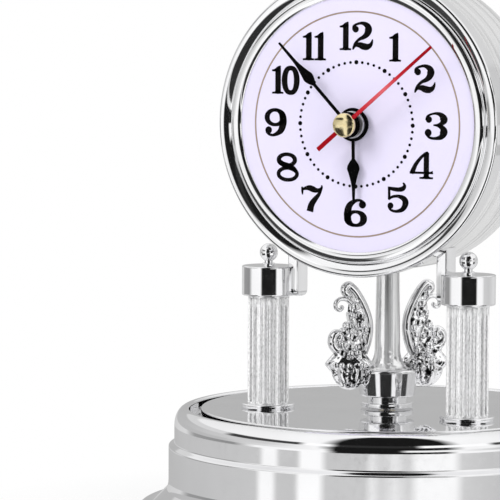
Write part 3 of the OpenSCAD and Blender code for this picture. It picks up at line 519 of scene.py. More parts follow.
def winding():
    """Enamelled copper wire, layer by layer: fine bands across the coil."""
    finish, tree, shader = blank("copper_winding", {"Metallic": 0.7})
    wires = {"Vector": own_place(tree), "Scale": 900, "Distortion": 0.6, "Detail": 2}
    bands = add(tree, "ShaderNodeTexWave", wires, bands_direction="X").outputs["Fac"]
    dress(tree, shader, tones(tree, bands, (0.1, (0.30, 0.10, 0.03)), (0.8, (0.72, 0.33, 0.13))),
          spread(tree, bands, 0.5, 0.3, 0, 1), bands, 0.00008)
    return finish


def board():
    """Solder mask over copper traces: square runs that show as paler green."""
    finish, tree, shader = blank("green_board")
    turn = add(tree, "ShaderNodeMapping", {"Vector": own_place(tree), "Rotation": (math.pi / 2, 0, 0)})
    runs = add(tree, "ShaderNodeTexBrick",
               {"Vector": turn.outputs["Vector"], "Scale": 300, "Mortar Size": 0.06,
                "Color1": (0.02, 0.16, 0.06, 1), "Color2": (0.025, 0.19, 0.07, 1),
                "Mortar": (0.06, 0.30, 0.12, 1)})
    dress(tree, shader, runs.outputs["Color"], spread(tree, noise(tree, 900, 3), 0.3, 0.45),
          runs.outputs["Fac"], 0.00004)
    return finish


def sintered(name, colour):
    """Pressed magnet: dark grains of uneven gloss."""
    finish, tree, shader = blank(name)
    grain = noise(tree, 2600, 4, 0.7)
    shade = tuple(0.5 * c for c in colour)
    dress(tree, shader, tones(tree, grain, (0.35, shade), (0.65, colour)), spread(tree, grain, 0.5, 0.75),
          grain, 0.00005)
    return finish


def cell_film():
    """A battery's film: black for most of the length and copper colour at the top end, unmarked."""
    finish, tree, shader = blank("cell_film", {"Metallic": 0.4})
    half_length = 0.025
    share = spread(tree, along(tree, own_place(tree), (1, 0, 0)), 0, 1, -half_length, half_length)
    scuffs = noise(tree, 300, 5, 0.7)
    dress(tree, shader, tones(tree, share, (0.66, (0.015, 0.015, 0.017)), (0.67, (0.62, 0.30, 0.09))),
          spread(tree, scuffs, 0.22, 0.42), scuffs, 0.00001)
    return finish


def dome_glass():
    """Clear thin glass: it shows only where it is seen edge on, with a very faint cloud in its gloss."""
    finish, tree, shader = blank("clear_dome_glass", {"Base Color": (0.93, 0.96, 0.96, 1), "IOR": 1.45})
    edge_on = add(tree, "ShaderNodeLayerWeight", {"Blend": 0.12}).outputs["Facing"]
    feed(tree, shader, {"Alpha": spread(tree, edge_on, 0.0008, 0.22, 0.6, 1),
                        "Roughness": spread(tree, noise(tree, 25, 4), 0.01, 0.04)})
    return finish


# Base, deck and columns

def base_profile():
    """Foot band, cove, wide band, eased step, shouldered rim and dome groove, then back under the deck. The
    step is a cosine ease, and the rim's shoulder is a quarter ellipse."""
    foot_z = FEET_H + FOOT_H
    band_z = foot_z + FLARE_R
    slope_z = band_z + BAND_H
    u = np.linspace(0, 1, 17)
    wall_r = BAND_R + BAND_DRAFT
    step_r = wall_r + (RIM_R - wall_r) * (1 - np.cos(np.pi * u)) / 2
    step = np.c_[step_r, slope_z + SLOPE_H * (0.25 + 0.5 * u)]
    a = np.radians(np.linspace(0, 90, 36))
    shoulder = np.c_[RIM_R - RIM_ROUND * (1 - np.cos(a)), RIM_TOP - RIM_FALL * (1 - np.sin(a))]
    under = DOME_LOW - BASE_WALL
    inner = FOOT_R - BASE_WALL
    return outline(
        rounded_foot(FOOT_R, FEET_H, 0.5, 4), rounded_top(FOOT_R, foot_z, 1.5, 10),
        arc(FOOT_R - FOOT_STEP, band_z, FLARE_R, 270, 180, 36),
        step, shoulder,
        arc(GROOVE_R + GROOVE_LIP, RIM_TOP - GROOVE_LIP, GROOVE_LIP, 90, 180, 10),
        [(GROOVE_R, DOME_LOW), (LEDGE_R, DOME_LOW), (LEDGE_R, under), (RIM_R - BASE_WALL, under)],
        [(BAND_R - BASE_WALL, slope_z - BASE_WALL), (BAND_R - BASE_WALL, band_z)],
        [(inner, foot_z - BASE_WALL), (inner, FEET_H)])


def deck_profile():
    """A flat plate with a rolled edge that turns down into the groove, round a bore for the bush."""
    bore, edge = 3.03, 0.6
    return outline([(bore, DECK_Z), (bore, DECK_Z - DECK_T), (DECK_R - BASE_WALL, DECK_Z - DECK_T)],
                   [(DECK_R - BASE_WALL, DOME_LOW), (DECK_R, DOME_LOW)],
                   rounded_top(DECK_R, DECK_Z, edge, 8),
                   np.c_[np.linspace(DECK_R - 2, bore + 1, 24), np.full(24, DECK_Z)])


def fluted_shaft():
    """A column's shaft: a circle hollowed by round flutes, carried up from the collar to the cap. Past a
    flute's last centre its hollow is part of a ball, so it ends round."""
    a = full_turn(FLUTES * 20)
    pitch = 2 * np.pi / FLUTES
    across = (np.mod(a, pitch) - pitch / 2) * SHAFT_R
    low, high = DECK_Z + COLLAR_H - 0.2, CAP_LOW
    foot, top = low + FLUTE_LAND + FLUTE_R, high - FLUTE_LAND - FLUTE_R
    end = FLUTE_R * np.sin(np.radians(np.linspace(0, 90, 10)))
    z = np.r_[low, foot - end[::-1], np.linspace(foot, top, 12)[1:-1], top + end, high][:, None]
    beyond = np.maximum(np.maximum(foot - z, z - top), 0)
    hollow = np.sqrt(np.maximum(FLUTE_R**2 - across**2 - beyond**2, 0)) - 0.15 * FLUTE_R
    return capped(rings(SHAFT_R - np.maximum(hollow, 0), a, z))


def collar():
    """The thin ring at a column's foot, with a rounded edge."""
    low, high = DECK_Z, DECK_Z + COLLAR_H
    inside, soft = SHAFT_R - 2, 0.6
    return turned(outline([(inside, low), (COLLAR_R - 0.2, low)],
                          arc(COLLAR_R - soft, high - soft, soft, -30, 90, 8), [(inside, high)]), 160)


def cap():
    """The smooth drum-shaped cap on a column, with softened edges."""
    soft = 0.45
    low, high = CAP_LOW, CAP_TOP
    return turned(outline([(0, low)], rounded_foot(CAP_R, low, soft, 6), rounded_top(CAP_R, high, soft, 6),
                          [(0, high)]), 192, loop=False)


def cheek(side):
    """The upright plate that carries the drum: rings of a rounded oblong, drawn in at the lower corners by
    a quarter circle, softened at the foot, and topped where the plate meets the drum."""
    soft = 0.5
    half_t = CHEEK_T / 2
    half_d = CHEEK_D / 2
    corners = (1, 1, 0), (-1, 1, 90), (-1, -1, 180), (1, -1, 270)
    out_t, out_d = half_t - soft, half_d - soft
    ring = outline(*[arc(x * out_t, y * out_d, soft, a, a + 90, 5) for x, y, a in corners])
    middle = side * (CHEEK_IN + half_t)
    rise = np.r_[0.02, 0.1, 0.25, 0.5, 0.9, 1.4, 2.0, CHEEK_ROUND]
    drawn = CHEEK_ROUND - np.sqrt(np.maximum(CHEEK_ROUND**2 - (CHEEK_ROUND - rise) ** 2, 0))
    inset = np.r_[CHEEK_ROUND, drawn, 0][:, None]
    shrink = np.r_[0.35, 0.3, 0.2, 0.12, 0.06, 0.02, 0, 0, 0, 0][:, None]
    x = middle + ring[:, 0] - np.sign(ring[:, 0]) * shrink
    y = COLUMN_Y - CHEEK_FWD + half_d + ring[:, 1] - np.sign(ring[:, 1]) * inset
    seat = HEAD_Z - np.sqrt((DRUM_R + 0.05) ** 2 - x[-1] ** 2)
    z = np.vstack([CAP_LOW + np.r_[0, rise][:, None] + 0 * x[:-1], seat])
    return capped(np.stack([x, y, z], -1))


def finial():
    """A ball on a thin neck with a small foot."""
    top = NECK_H + BALL_R - BALL_SUNK
    low = math.degrees(math.acos(NECK_R / BALL_R))
    pin, foot = -2.8, 0.45
    return turned(outline([(0, pin), (NECK_R, pin), (NECK_R, 0), (NECK_R + 2 * foot, 0)],
                          arc(NECK_R + foot, foot, foot, 0, 90, 5), [(NECK_R, 1.0)],
                          arc(0, top, BALL_R, -low, 90, 40)), 96, loop=False)


# Head

def drum_profile():
    """The drum's wall with its bevelled front, rounded rear edge and rear flange."""
    seat, back = DRUM_SEAT, -DRUM_BACK
    rear_round, bevel = 1.5, 0.3
    seat_r = DRUM_R - SEAT_W
    inner = DRUM_R - DRUM_WALL
    opening = DRUM_R - REAR_FLANGE
    return outline([(seat_r, seat), (DRUM_R - DRUM_BEVEL, seat), (DRUM_R, seat - DRUM_BEVEL)],
                   np.c_[np.full(20, DRUM_R), np.linspace(seat - DRUM_BEVEL - 0.5, back + 2, 20)],
                   arc(DRUM_R - rear_round, back + rear_round, rear_round, 0, -90, 10),
                   [(opening + bevel, back), (opening, back + bevel)],
                   [(opening, back + REAR_T), (inner, back + REAR_T)],
                   [(inner, seat - DRUM_WALL - DRUM_BEVEL), (inner - DRUM_BEVEL, seat - DRUM_WALL)],
                   [(seat_r, seat - DRUM_WALL)])


def bezel_profile():
    """A half-oval bead next to the dial, a fine valley, a roll that climbs outwards as a parabola to the
    crest, and a rounded edge down to the side wall."""
    valley, drop = DIAL_R + BEAD_W + 0.2, 0.4
    crest = BEZEL_R - BEZEL_EDGE
    a = np.radians(np.linspace(180, 0, 25))
    bead = np.c_[DIAL_R + BEAD_W / 2 * (1 + np.cos(a)), BEAD_W / 4 * np.sin(a)]
    u = np.linspace(0, 1, 24)[:-1]
    roll = np.c_[valley + (crest - valley) * u, CREST_H - (CREST_H + drop) * (1 - u) ** 2]
    wall = DRUM_R + 0.03
    seat_r = DIAL_R + DIAL_SEAT + 0.03
    return outline(bead, roll, arc(crest, CREST_H - BEZEL_EDGE, BEZEL_EDGE, 90, 0, 14),
                   [(BEZEL_R, -BEZEL_D), (wall, -BEZEL_D), (wall, DRUM_SEAT - DRUM_BEVEL)],
                   [(wall - DRUM_BEVEL, DRUM_SEAT), (seat_r, DRUM_SEAT), (seat_r, -0.01)])


def spade_hand(length, start, end, spade, hub_r, bore, lift, turn):
    """A hand: its half width is a thin stem plus a spade that swells as a sine and thins as a power of a
    straight fall, and its section is a flat back under a low crown. The hub is a ring round its bore."""
    stem, widest, blunt, thinning, crown, sunk = 1.15, 0.32, 0.3, 1.6, 0.45, 0.4
    s = np.r_[0, np.linspace(start, end, 49), np.linspace(end, 1, 12)[1:]]
    u = np.clip((s - start) / (end - start), 0, 1)
    swell = np.where(u < widest, np.sin(np.pi / 2 * np.clip(u / widest, 0, 1)),
                     np.clip((1 - u) / (1 - widest), 0, 1) ** thinning)
    needle = np.clip((s - end) / (1 - end), 0, 1)
    half = stem / 2 * (1 - blunt * needle) + (spade - stem) / 2 * swell
    w = np.r_[np.linspace(-1, 1, 13), 1, -1]
    z = np.r_[HAND_T * (1 - crown + crown * np.sqrt(1 - np.linspace(-1, 1, 13) ** 2)), 0, 0]
    y = np.maximum(s * length, hub_r - sunk)
    blade = capped(np.stack([half[:, None] * w, y[:, None] + 0 * w, lift + z + 0 * half[:, None]], -1))
    return [in_head(clockwise(shell, turn)) for shell in (blade, hub_ring(hub_r, bore, lift))]


def hub_ring(outer, bore, lift, thick=HAND_T):
    """A flat ring with a rounded outer edge."""
    r = min(0.2, thick / 3)
    top = lift + thick
    return turned(outline([(bore, lift), (outer - r, lift)], rounded_foot(outer, lift, r, 4),
                          rounded_top(outer, top, r, 4), [(bore, top)]), 96)


def second_hand():
    """A straight red hand with a slim taper, a blunt tail and a round hub."""
    length, tail, wide, hub_r = 41.7, 13.2, 1.2, 2
    ends = np.array([-tail, 0, length])
    half = wide * np.array([0.64, 0.58, 0.4])[:, None]
    w = np.array([-1, -0.85, 0.85, 1, 1, -1])
    z = SECOND_LIFT + HAND_T * np.array([0.75, 1, 1, 0.75, 0, 0])
    bar = capped(np.stack([half * w, ends[:, None] + 0 * w, z + 0 * half], -1))
    hub = hub_ring(hub_r, SECOND_BORE, SECOND_LIFT)
    return [in_head(clockwise(shell, SECOND_TURN)) for shell in (bar, hub)]


def cap_dome():
    """The brass cap: a low dome whose height follows the sine as its radius follows the cosine."""
    r, h, foot = 4.15, 1.9, SECOND_LIFT + HAND_T
    a = np.radians(np.linspace(0, 90, 24))
    dome = np.c_[r * np.cos(a), foot + h * (0.25 + 0.75 * np.sin(a))]
    hollow, soft = foot + 0.3, 0.1
    under = [(SECOND_BORE, hollow), (SECOND_BORE, foot), (r - soft, foot), (r, foot + soft)]
    return in_head(turned(outline(under, dome, [(0, foot + h), (0, hollow)]), 96, loop=False))


# Dial print: strokes of a bold slab-serif numeral in a box one unit high, as (x, y, width)

def oval(x, y, half_w, half_h, thick, thin, square=1):
    """A closed stroke round an ellipse, thick at its sides and thin at top and bottom; a lower power of the
    cosine squares it up."""
    a = np.radians(np.arange(0, 360, 22.5))
    across = np.sign(np.cos(a)) * np.abs(np.cos(a)) ** square
    return np.c_[x + half_w * across, y + half_h * np.sin(a), thin + (thick - thin) * np.abs(across) ** 2]


HOOK = [(0.805, 0.84, 0.06), (0.67, 0.94, 0.08), (0.47, 0.95, 0.1), (0.22, 0.79, 0.2), (0.13, 0.5, 0.25),
        (0.165, 0.24, 0.22), (0.31, 0.1, 0.13), (0.46, 0.08, 0.09)]

# Each numeral's width, its strokes, and its round ends as (x, y, radius)
NUMERALS = {
    0: (0.64, [
        ["loop", oval(0.28, 0.484, 0.24, 0.433, 0.2, 0.15, 0.8)]], []),
    1: (0.42, [
        [(0.245, 0.03, 0.195), (0.245, 0.5, 0.195), (0.245, 0.9, 0.195)],
        [(0.005, 0.825, 0.05), (0.12, 0.835, 0.09), (0.22, 0.865, 0.15), (0.29, 0.93, 0.12),
         (0.335, 0.995, 0.03)],
        [(0.01, 0.035, 0.055), (0.13, 0.045, 0.075), (0.245, 0.07, 0.14), (0.35, 0.045, 0.075),
         (0.455, 0.035, 0.055)]], []),
    2: (0.84, [
        [(0.06, 0.70, 0.05), (0.10, 0.86, 0.07), (0.38, 0.95, 0.093), (0.59, 0.875, 0.18),
         (0.655, 0.735, 0.245), (0.60, 0.575, 0.2), (0.47, 0.465, 0.14), (0.31, 0.39, 0.1),
         (0.16, 0.255, 0.085), (0.08, 0.11, 0.06), (0.055, 0.025, 0.03)],
        [(0.06, 0.03, 0.04), (0.16, 0.165, 0.09), (0.31, 0.19, 0.175), (0.45, 0.147, 0.21),
         (0.59, 0.125, 0.2), (0.71, 0.17, 0.15), (0.785, 0.27, 0.09),
         (0.815, 0.39, 0.035)]], [(0.166, 0.738, 0.117)]),
    3: (0.84, [
        [(0.045, 0.73, 0.05), (0.13, 0.88, 0.065), (0.40, 0.96, 0.076), (0.62, 0.905, 0.16),
         (0.72, 0.755, 0.26), (0.65, 0.625, 0.15), (0.50, 0.57, 0.075), (0.33, 0.555, 0.04)],
        [(0.33, 0.555, 0.04), (0.50, 0.535, 0.08), (0.66, 0.465, 0.17), (0.722, 0.324, 0.26),
         (0.63, 0.155, 0.17), (0.41, 0.097, 0.095), (0.19, 0.125, 0.08),
         (0.03, 0.26, 0.05)]], [(0.159, 0.748, 0.117), (0.137, 0.29, 0.13)]),
    4: (0.90, [
        [(0.64, 0.08, 0.18), (0.64, 0.5, 0.18), (0.64, 0.965, 0.18)],
        [(0.70, 0.985, 0.04), (0.62, 0.945, 0.08), (0.44, 0.797, 0.1), (0.25, 0.566, 0.125),
         (0.145, 0.36, 0.15), (0.075, 0.235, 0.13)],
        [(0.01, 0.264, 0.07), (0.45, 0.264, 0.072), (0.80, 0.268, 0.075), (0.89, 0.285, 0.11)],
        [(0.385, 0.085, 0.055), (0.52, 0.09, 0.075), (0.64, 0.12, 0.14), (0.76, 0.09, 0.075),
         (0.895, 0.085, 0.055)]], []),
    5: (0.80, [
        [(0.06, 0.85, 0.06), (0.22, 0.81, 0.12), (0.44, 0.79, 0.135), (0.60, 0.82, 0.15),
         (0.675, 0.90, 0.125), (0.66, 0.98, 0.08), (0.615, 1.03, 0.04)],
        [(0.09, 0.885, 0.09), (0.095, 0.65, 0.085), (0.095, 0.43, 0.085)],
        [(0.075, 0.43, 0.05), (0.20, 0.525, 0.085), (0.417, 0.56, 0.1), (0.64, 0.485, 0.17),
         (0.72, 0.328, 0.207), (0.61, 0.11, 0.15), (0.366, 0.03, 0.093), (0.165, 0.075, 0.08),
         (0.055, 0.20, 0.05)]], [(0.148, 0.224, 0.11)]),
    6: (0.86, [
        ["loop", oval(0.44, 0.316, 0.31, 0.239, 0.24, 0.1)],
        HOOK], [(0.705, 0.812, 0.135)]),
    7: (0.88, [
        [(0.08, 0.64, 0.04), (0.075, 0.77, 0.075), (0.065, 0.915, 0.06)],
        [(0.08, 0.82, 0.06), (0.22, 0.87, 0.12), (0.36, 0.88, 0.18), (0.50, 0.835, 0.19),
         (0.63, 0.80, 0.15), (0.75, 0.825, 0.11), (0.83, 0.90, 0.08), (0.83, 0.99, 0.04)],
        [(0.845, 0.90, 0.05), (0.78, 0.755, 0.09), (0.69, 0.62, 0.13), (0.55, 0.46, 0.175),
         (0.43, 0.28, 0.21), (0.375, 0.05, 0.235)]], []),
    8: (0.84, [
        ["loop", oval(0.396, 0.745, 0.317, 0.197, 0.15, 0.115)],
        ["loop", oval(0.434, 0.25, 0.364, 0.212, 0.13, 0.12)],
        [(0.11, 0.70, 0.13), (0.24, 0.595, 0.17), (0.45, 0.52, 0.2), (0.63, 0.45, 0.18),
         (0.77, 0.34, 0.12)]], []),
    9: (0.86, [
        ["loop", oval(0.448, 0.33, 0.314, 0.262, 0.178, 0.11)],
        HOOK], [(0.70, 0.785, 0.13)]),
}
PRINT_T = 0.06
NUMERAL_H = 9.8
BOLDER = 1.12
NUMBER_AT = {1: (14.3, 26.5), 2: (25.5, 15.9), 3: (29.8, -0.2), 4: (24.6, -13.6), 5: (15.7, -24.7),
             6: (0, -30.5), 7: (-16.7, -26), 8: (-26.1, -15.2), 9: (-30.8, 0.2), 10: (-26.9, 14.9),
             11: (-16.2, 26.6), 12: (-0.1, 30.2)}
DOT_RING_R = 21.27
HOUR_DOT_R = 0.76
DOT_R = 0.5
RING_PRINT_R = 38.54
RING_PRINT_W = 0.56


def stroke(points, loop):
    """A flat raised ribbon: a smooth line whose two edges lie half a width to each side."""
    line = through(points, 20 * len(points), loop)
    ahead = np.roll(line, -1, 0) - np.roll(line, 1, 0)
    if not loop:
        ahead[0], ahead[-1] = line[1] - line[0], line[-1] - line[-2]
    side = np.c_[-ahead[:, 1], ahead[:, 0]]
    side /= np.linalg.norm(side, axis=1)[:, None]
    reach = side * line[:, 2:3] / 2 * BOLDER
    left, right = line[:, :2] + reach, line[:, :2] - reach
    ring = np.stack([left, right, right, left], 1)
    points = np.concatenate([ring, np.broadcast_to(np.array([0, 0, PRINT_T, PRINT_T])[None, :, None],
                                                   (*ring.shape[:2], 1))], 2)
    return grid_shell(points, round_rows=True) if loop else capped(points)


def numeral(value, x, y):
    """One number's strokes and round ends, centred at a place on the dial."""
    gap = 0.04
    digits = [digit(int(c)) for c in str(value)]
    left = -(sum(width for width, _ in digits) + gap * (len(digits) - 1)) / 2
    shells = []
    for width, made in digits:
        for flat, faces in made:
            place = (flat[:, :2] + [left, -0.5]) * NUMERAL_H + [x, y]
            shells.append(in_head((np.c_[place, flat[:, 2]], faces)))
        left += width + gap
    return shells


def digit(d):
    """The width and the shells of one digit, one unit high; a nine is drawn as a six and turned over."""
    width, strokes, balls = NUMERALS[d]
    made = [stroke(s[1] if s[0] == "loop" else s, s[0] == "loop") for s in strokes]
    made += [printed_disc(*ball, 24) for ball in balls]
    if d == 9:
        made = [(np.c_[width - flat[:, 0], 1 - flat[:, 1], flat[:, 2]], faces) for flat, faces in made]
    return width, made


def printed_disc(x, y, r, sides):
    """A dot of print or the round end of a stroke, as a flat raised disc."""
    return moved(turned(np.array([(0, 0), (r, 0), (r, PRINT_T), (0, PRINT_T)]), sides, loop=False), x, y)


def minute_dots():
    """Sixty dots round the dial, larger on the hours."""
    shells = []
    for i in range(60):
        a = math.radians(6 * i)
        r = HOUR_DOT_R if i % 5 == 0 else DOT_R
        shells.append(in_head(printed_disc(DOT_RING_R * math.sin(a), DOT_RING_R * math.cos(a), r, 14)))
    return shells


# Pendulum

def spindle_profile():
    """A flared foot that sweeps up as a quarter ellipse into a slim taper."""
    a = np.radians(np.linspace(0, 90, 32))
    flare_r = SPINDLE_R + (SPINDLE_FOOT_R - SPINDLE_R) * (1 - np.sin(a))
    flare = np.c_[flare_r, CUP_TOP + SPINDLE_FLARE * (1 - np.cos(a))]
    return outline([(SHAFT_BORE, CUP_TOP)], flare,
                   rounded_top(SPINDLE_TOP_R, SPINDLE_TOP, 0.3, 4), [(SHAFT_BORE, SPINDLE_TOP)])


def cup_profile():
    """A cup whose straight wall widens as it rises, with a small round under it and one at its lip."""
    low_r = CUP_R - CUP_DRAFT
    return outline([(SHAFT_BORE, CUP_LOW)],
                   arc(low_r - CUP_ROUND, CUP_LOW + CUP_ROUND, CUP_ROUND, 270, 354, 10),
                   arc(CUP_R - CUP_LIP, CUP_TOP - CUP_LIP, CUP_LIP, -6, 90, 10), [(SHAFT_BORE, CUP_TOP)])


def foot_profile():
    """A straight-sided ring with softened edges, and a narrower neck up to the cup."""
    top = RING_LOW + RING_H
    neck = RING_R - NECK_IN
    return outline([(SHAFT_BORE, RING_LOW)], rounded_foot(RING_R, RING_LOW, RING_EDGE, 5),
                   rounded_top(RING_R, top, RING_EDGE, 5),
                   [(neck, top), (neck, CUP_LOW), (SHAFT_BORE, CUP_LOW)])


def petals():
    """A bud's two smooth side petals: a double cone, rounded at its widest place, whose radius follows a
    cosine round the axis."""
    neck_r, foot_r, first, valley = 4.6, 4.4, -22.4, 0.62
    fall, soft = 4.4, 0.1
    z = np.linspace(BULB_WIDEST - 5, BULB_TOP + 0.4, 60)[:, None]
    a = full_turn(252)
    off = np.sqrt(((z - BULB_WIDEST) / fall) ** 2 + soft**2) - soft
    r = BULB_R - (BULB_R - np.where(z > BULB_WIDEST, neck_r, foot_r)) * off
    petal = 0.5 + 0.5 * np.cos(2 * (a - math.radians(first)))
    return capped(rings(r * (valley + (1 - valley) * petal), a, z))


def bowl():
    """The round bowl between the petals: its radius follows a quarter sine to a power and its height a power,
    up to a rim, with soft lobes round it."""
    bowl_r, lobes, lobe = 6.8, 8, 0.05
    u = np.linspace(0, 1, 48)
    rise = BULB_LOW - 0.4 + (BULB_WIDEST - BULB_LOW) * u**1.6
    line = outline(np.c_[bowl_r * np.sin(np.pi / 2 * u) ** 0.85, rise], [(0, BULB_WIDEST)])
    a = full_turn(192)
    return grid_shell(rings(line[:, :1] * (1 - lobe + lobe * np.cos(lobes * a)), a, line[:, 1:]))


def bead_collars():
    """The rings of beads round the bowl's rim and round the bud's neck."""
    return [*bead_ring(16, 6.9, BULB_WIDEST + 0.1), *bead_ring(10, 4.9, BULB_TOP + 0.2)]


def bead_ring(count, radius, z):
    """Small balls set evenly round an upright axis."""
    angles = np.arange(count) * 2 * np.pi / count
    return [ball_at(radius * math.cos(a), radius * math.sin(a), z, BEAD_R) for a in angles]


def scroll(path, width, depth, sides=16, steps=64):
    """A bar that curls in the leaf's own plane: an oval carried along a smooth line, its half width and
    half depth given at both ends, with a round far end."""
    line = through(path, steps)
    t = np.linspace(0, 1, steps)
    ahead = np.gradient(line, axis=0)
    side = np.c_[-ahead[:, 1], ahead[:, 0]]
    side /= np.linalg.norm(side, axis=1)[:, None]
    round_off = 0.06
    tip = np.sqrt(np.clip(1 - np.clip((t - (1 - round_off)) / round_off, 0, 1) ** 2, 0, 1))
    w = (width[0] + (width[1] - width[0]) * t) * tip
    d = (depth[0] + (depth[1] - depth[0]) * t) * tip
    b = full_turn(sides)
    x = line[:, :1] + side[:, :1] * w[:, None] * np.cos(b)
    z = line[:, 1:] + side[:, 1:] * w[:, None] * np.cos(b)
    y = d[:, None] * np.sin(b)
    return capped(np.stack([x, y, z], -1))


LEAF_BACK = [(9.4, 19.6), (7.9, 23.5), (7.2, 28.0), (7.8, 32.5), (9.7, 37.0), (12.2, 41.0)]
LEAF_BEADS = [(12.9, 36.4, 1.6), (11.9, 33.1, 1.5), (14.2, 33.2, 1.2), (11.2, 29.8, 1.4), (9.5, 28.0, 1.3),
              (10.2, 25.7, 1.3), (15.2, 29.2, 1.6), (15.0, 25.8, 1.6), (13.1, 25.0, 1.2), (9.8, 22.2, 1.4),
              (12.2, 21.8, 1.4), (14.8, 22.0, 1.5), (17.4, 23.0, 1.5), (19.6, 23.6, 1.2), (16.9, 27.4, 1.3)]
LEAF_FRONT = [(19.6, 19.6), (18.6, 23.5), (16.8, 27.5), (15.4, 31.0), (15.4, 35.0), (14.4, 40.6)]


def blade():
    """The leaf's body: level ovals from its back edge to its front edge, thick at the foot and thin at the
    tip, with a broad groove along each side."""
    rows, sides = 80, 96
    back, front = through(LEAF_BACK, rows), through(LEAF_FRONT, rows)
    v = np.linspace(0, 1, rows)[:, None]
    a = full_turn(sides)
    middle, half = (back + front) / 2, (front - back) / 2
    x = middle[:, :1] + half[:, :1] * np.cos(a)
    z = middle[:, 1:] + half[:, 1:] * np.cos(a)
    thick = (2 * (1 - v) ** 0.6 + 0.7) * np.sin(a) * (1 - 0.3 * np.cos(2 * a) ** 2)
    return capped(np.stack([x, thick + 0 * x, z], -1))


def leaf():
    """The smooth scrolls of an acanthus leaf: a rolled back that hooks over at the top, a thin tendril, a
    lower bud of two thick coils and a slanting rib."""
    hook = [(13.6, 42.6), (15.0, 43.6), (16.4, 43.0), (16.6, 41.4), (15.4, 40.6), (14.6, 41.4)]
    spine = scroll(LEAF_BACK + hook, (1.5, 1.4), (1.9, 1.6), steps=110)
    tendril = scroll([(13.6, 36.4), (15.6, 38.5), (18.2, 38.9), (19.9, 37.6), (19.9, 35.8), (18.6, 35.0),
                      (17.6, 35.8), (18.2, 36.6)], (0.85, 0.65), (1.2, 0.9))
    bud = scroll([(17.2, 20.6), (19.8, 21.4), (21.2, 23.4), (21.0, 25.8), (19.6, 27.0), (18.6, 26.2),
                  (18.9, 24.8), (19.9, 24.6), (20.0, 25.2)], (1.7, 1.1), (2.4, 1.8))
    rib = scroll([(10.4, 21.4), (11.4, 24.6), (12.8, 28), (14.6, 31.2), (15.2, 34.4)],
                 (0.75, 0.6), (2.6, 1.6))
    return [spine, tendril, bud, rib]


def leaf_body():
    """The worked body of the leaf, with beads over both sides."""
    out = 1.25
    beads = [ball_at(x, side * out, z, r, 14, 24) for x, z, r in LEAF_BEADS for side in (-1, 1)]
    return [blade(), *beads]


def on_arm(shells, degrees, out=0):
    """Shells of an ornament set out from the pendulum's axis along its arm, above the deck."""
    return [moved(spun(moved(shell, out), degrees), z=DECK_Z) for shell in shells]


# Dome and rear cover

def dome_profile():
    """A straight glass wall under a half-round top, inside and then outside, with a ground foot."""
    inner = DOME_R - DOME_WALL
    spring = DOME_TOP - DOME_R
    wall = np.linspace(DOME_LOW + DOME_EDGE, spring - 8, 12)
    return outline([(0, DOME_TOP - DOME_WALL)], arc(0, spring, inner, 88, 0, 44),
                   np.c_[np.full(12, inner), wall[::-1]],
                   [(inner + DOME_EDGE, DOME_LOW), (DOME_R - DOME_EDGE, DOME_LOW)],
                   np.c_[np.full(12, DOME_R), wall],
                   arc(0, spring, DOME_R, 0, 88, 44), [(0, DOME_TOP)])


def rear_profile():
    """The rear cover: a disc with shallow moulded steps and a round pull, its profile read from behind."""
    edge = DRUM_R - REAR_FLANGE - 0.1
    pull_r, pull_h, pull_round = 8, 5, 1.2
    face = DRUM_BACK
    steps = [(12, face - 0.5), (12.6, face), (24, face), (24.4, face - 0.4), (25.6, face - 0.4), (26, face),
             (36, face), (36.4, face - 0.4), (37.6, face - 0.4), (38, face)]
    side = outline([(0, face - REAR_T), (edge, face - REAR_T)], rounded_top(edge, face, 0.4, 4),
                   steps[::-1], [(pull_r + 0.6, face - 0.5)],
                   rounded_top(pull_r, face + pull_h, pull_round, 8), [(0, face + pull_h)])
    return side * [1, -1]


# Pieces

def build_base():
    """The base, its deck, and the columns with their collars, caps and balls."""
    piece("base_body", [turned(base_profile(), 320)], CHROME, "base", "chrome", "base_shell")
    piece("mirror_deck", [turned(deck_profile(), 256)], DECK_CHROME, "base", "deck_chrome", "deck_plate")
    for name, side in (("left", -1), ("right", 1)):
        x, y = side * COLUMN_X, COLUMN_Y
        piece(f"fluted_column_{name}", [moved(fluted_shaft(), x, y)], FLUTED_CHROME, "base", "chrome",
              f"column_{name}")
        piece(f"column_collar_{name}", [moved(collar(), x, y)], CHROME, "base", "chrome")
        piece(f"cap_and_cheek_{name}", [moved(cap(), x, y), cheek(side)], CHROME, "base", "chrome",
              f"bracket_{name}")
        piece(f"ball_{name}", [moved(finial(), x, y, CAP_TOP)], CHROME, "base", "chrome", f"finial_{name}")


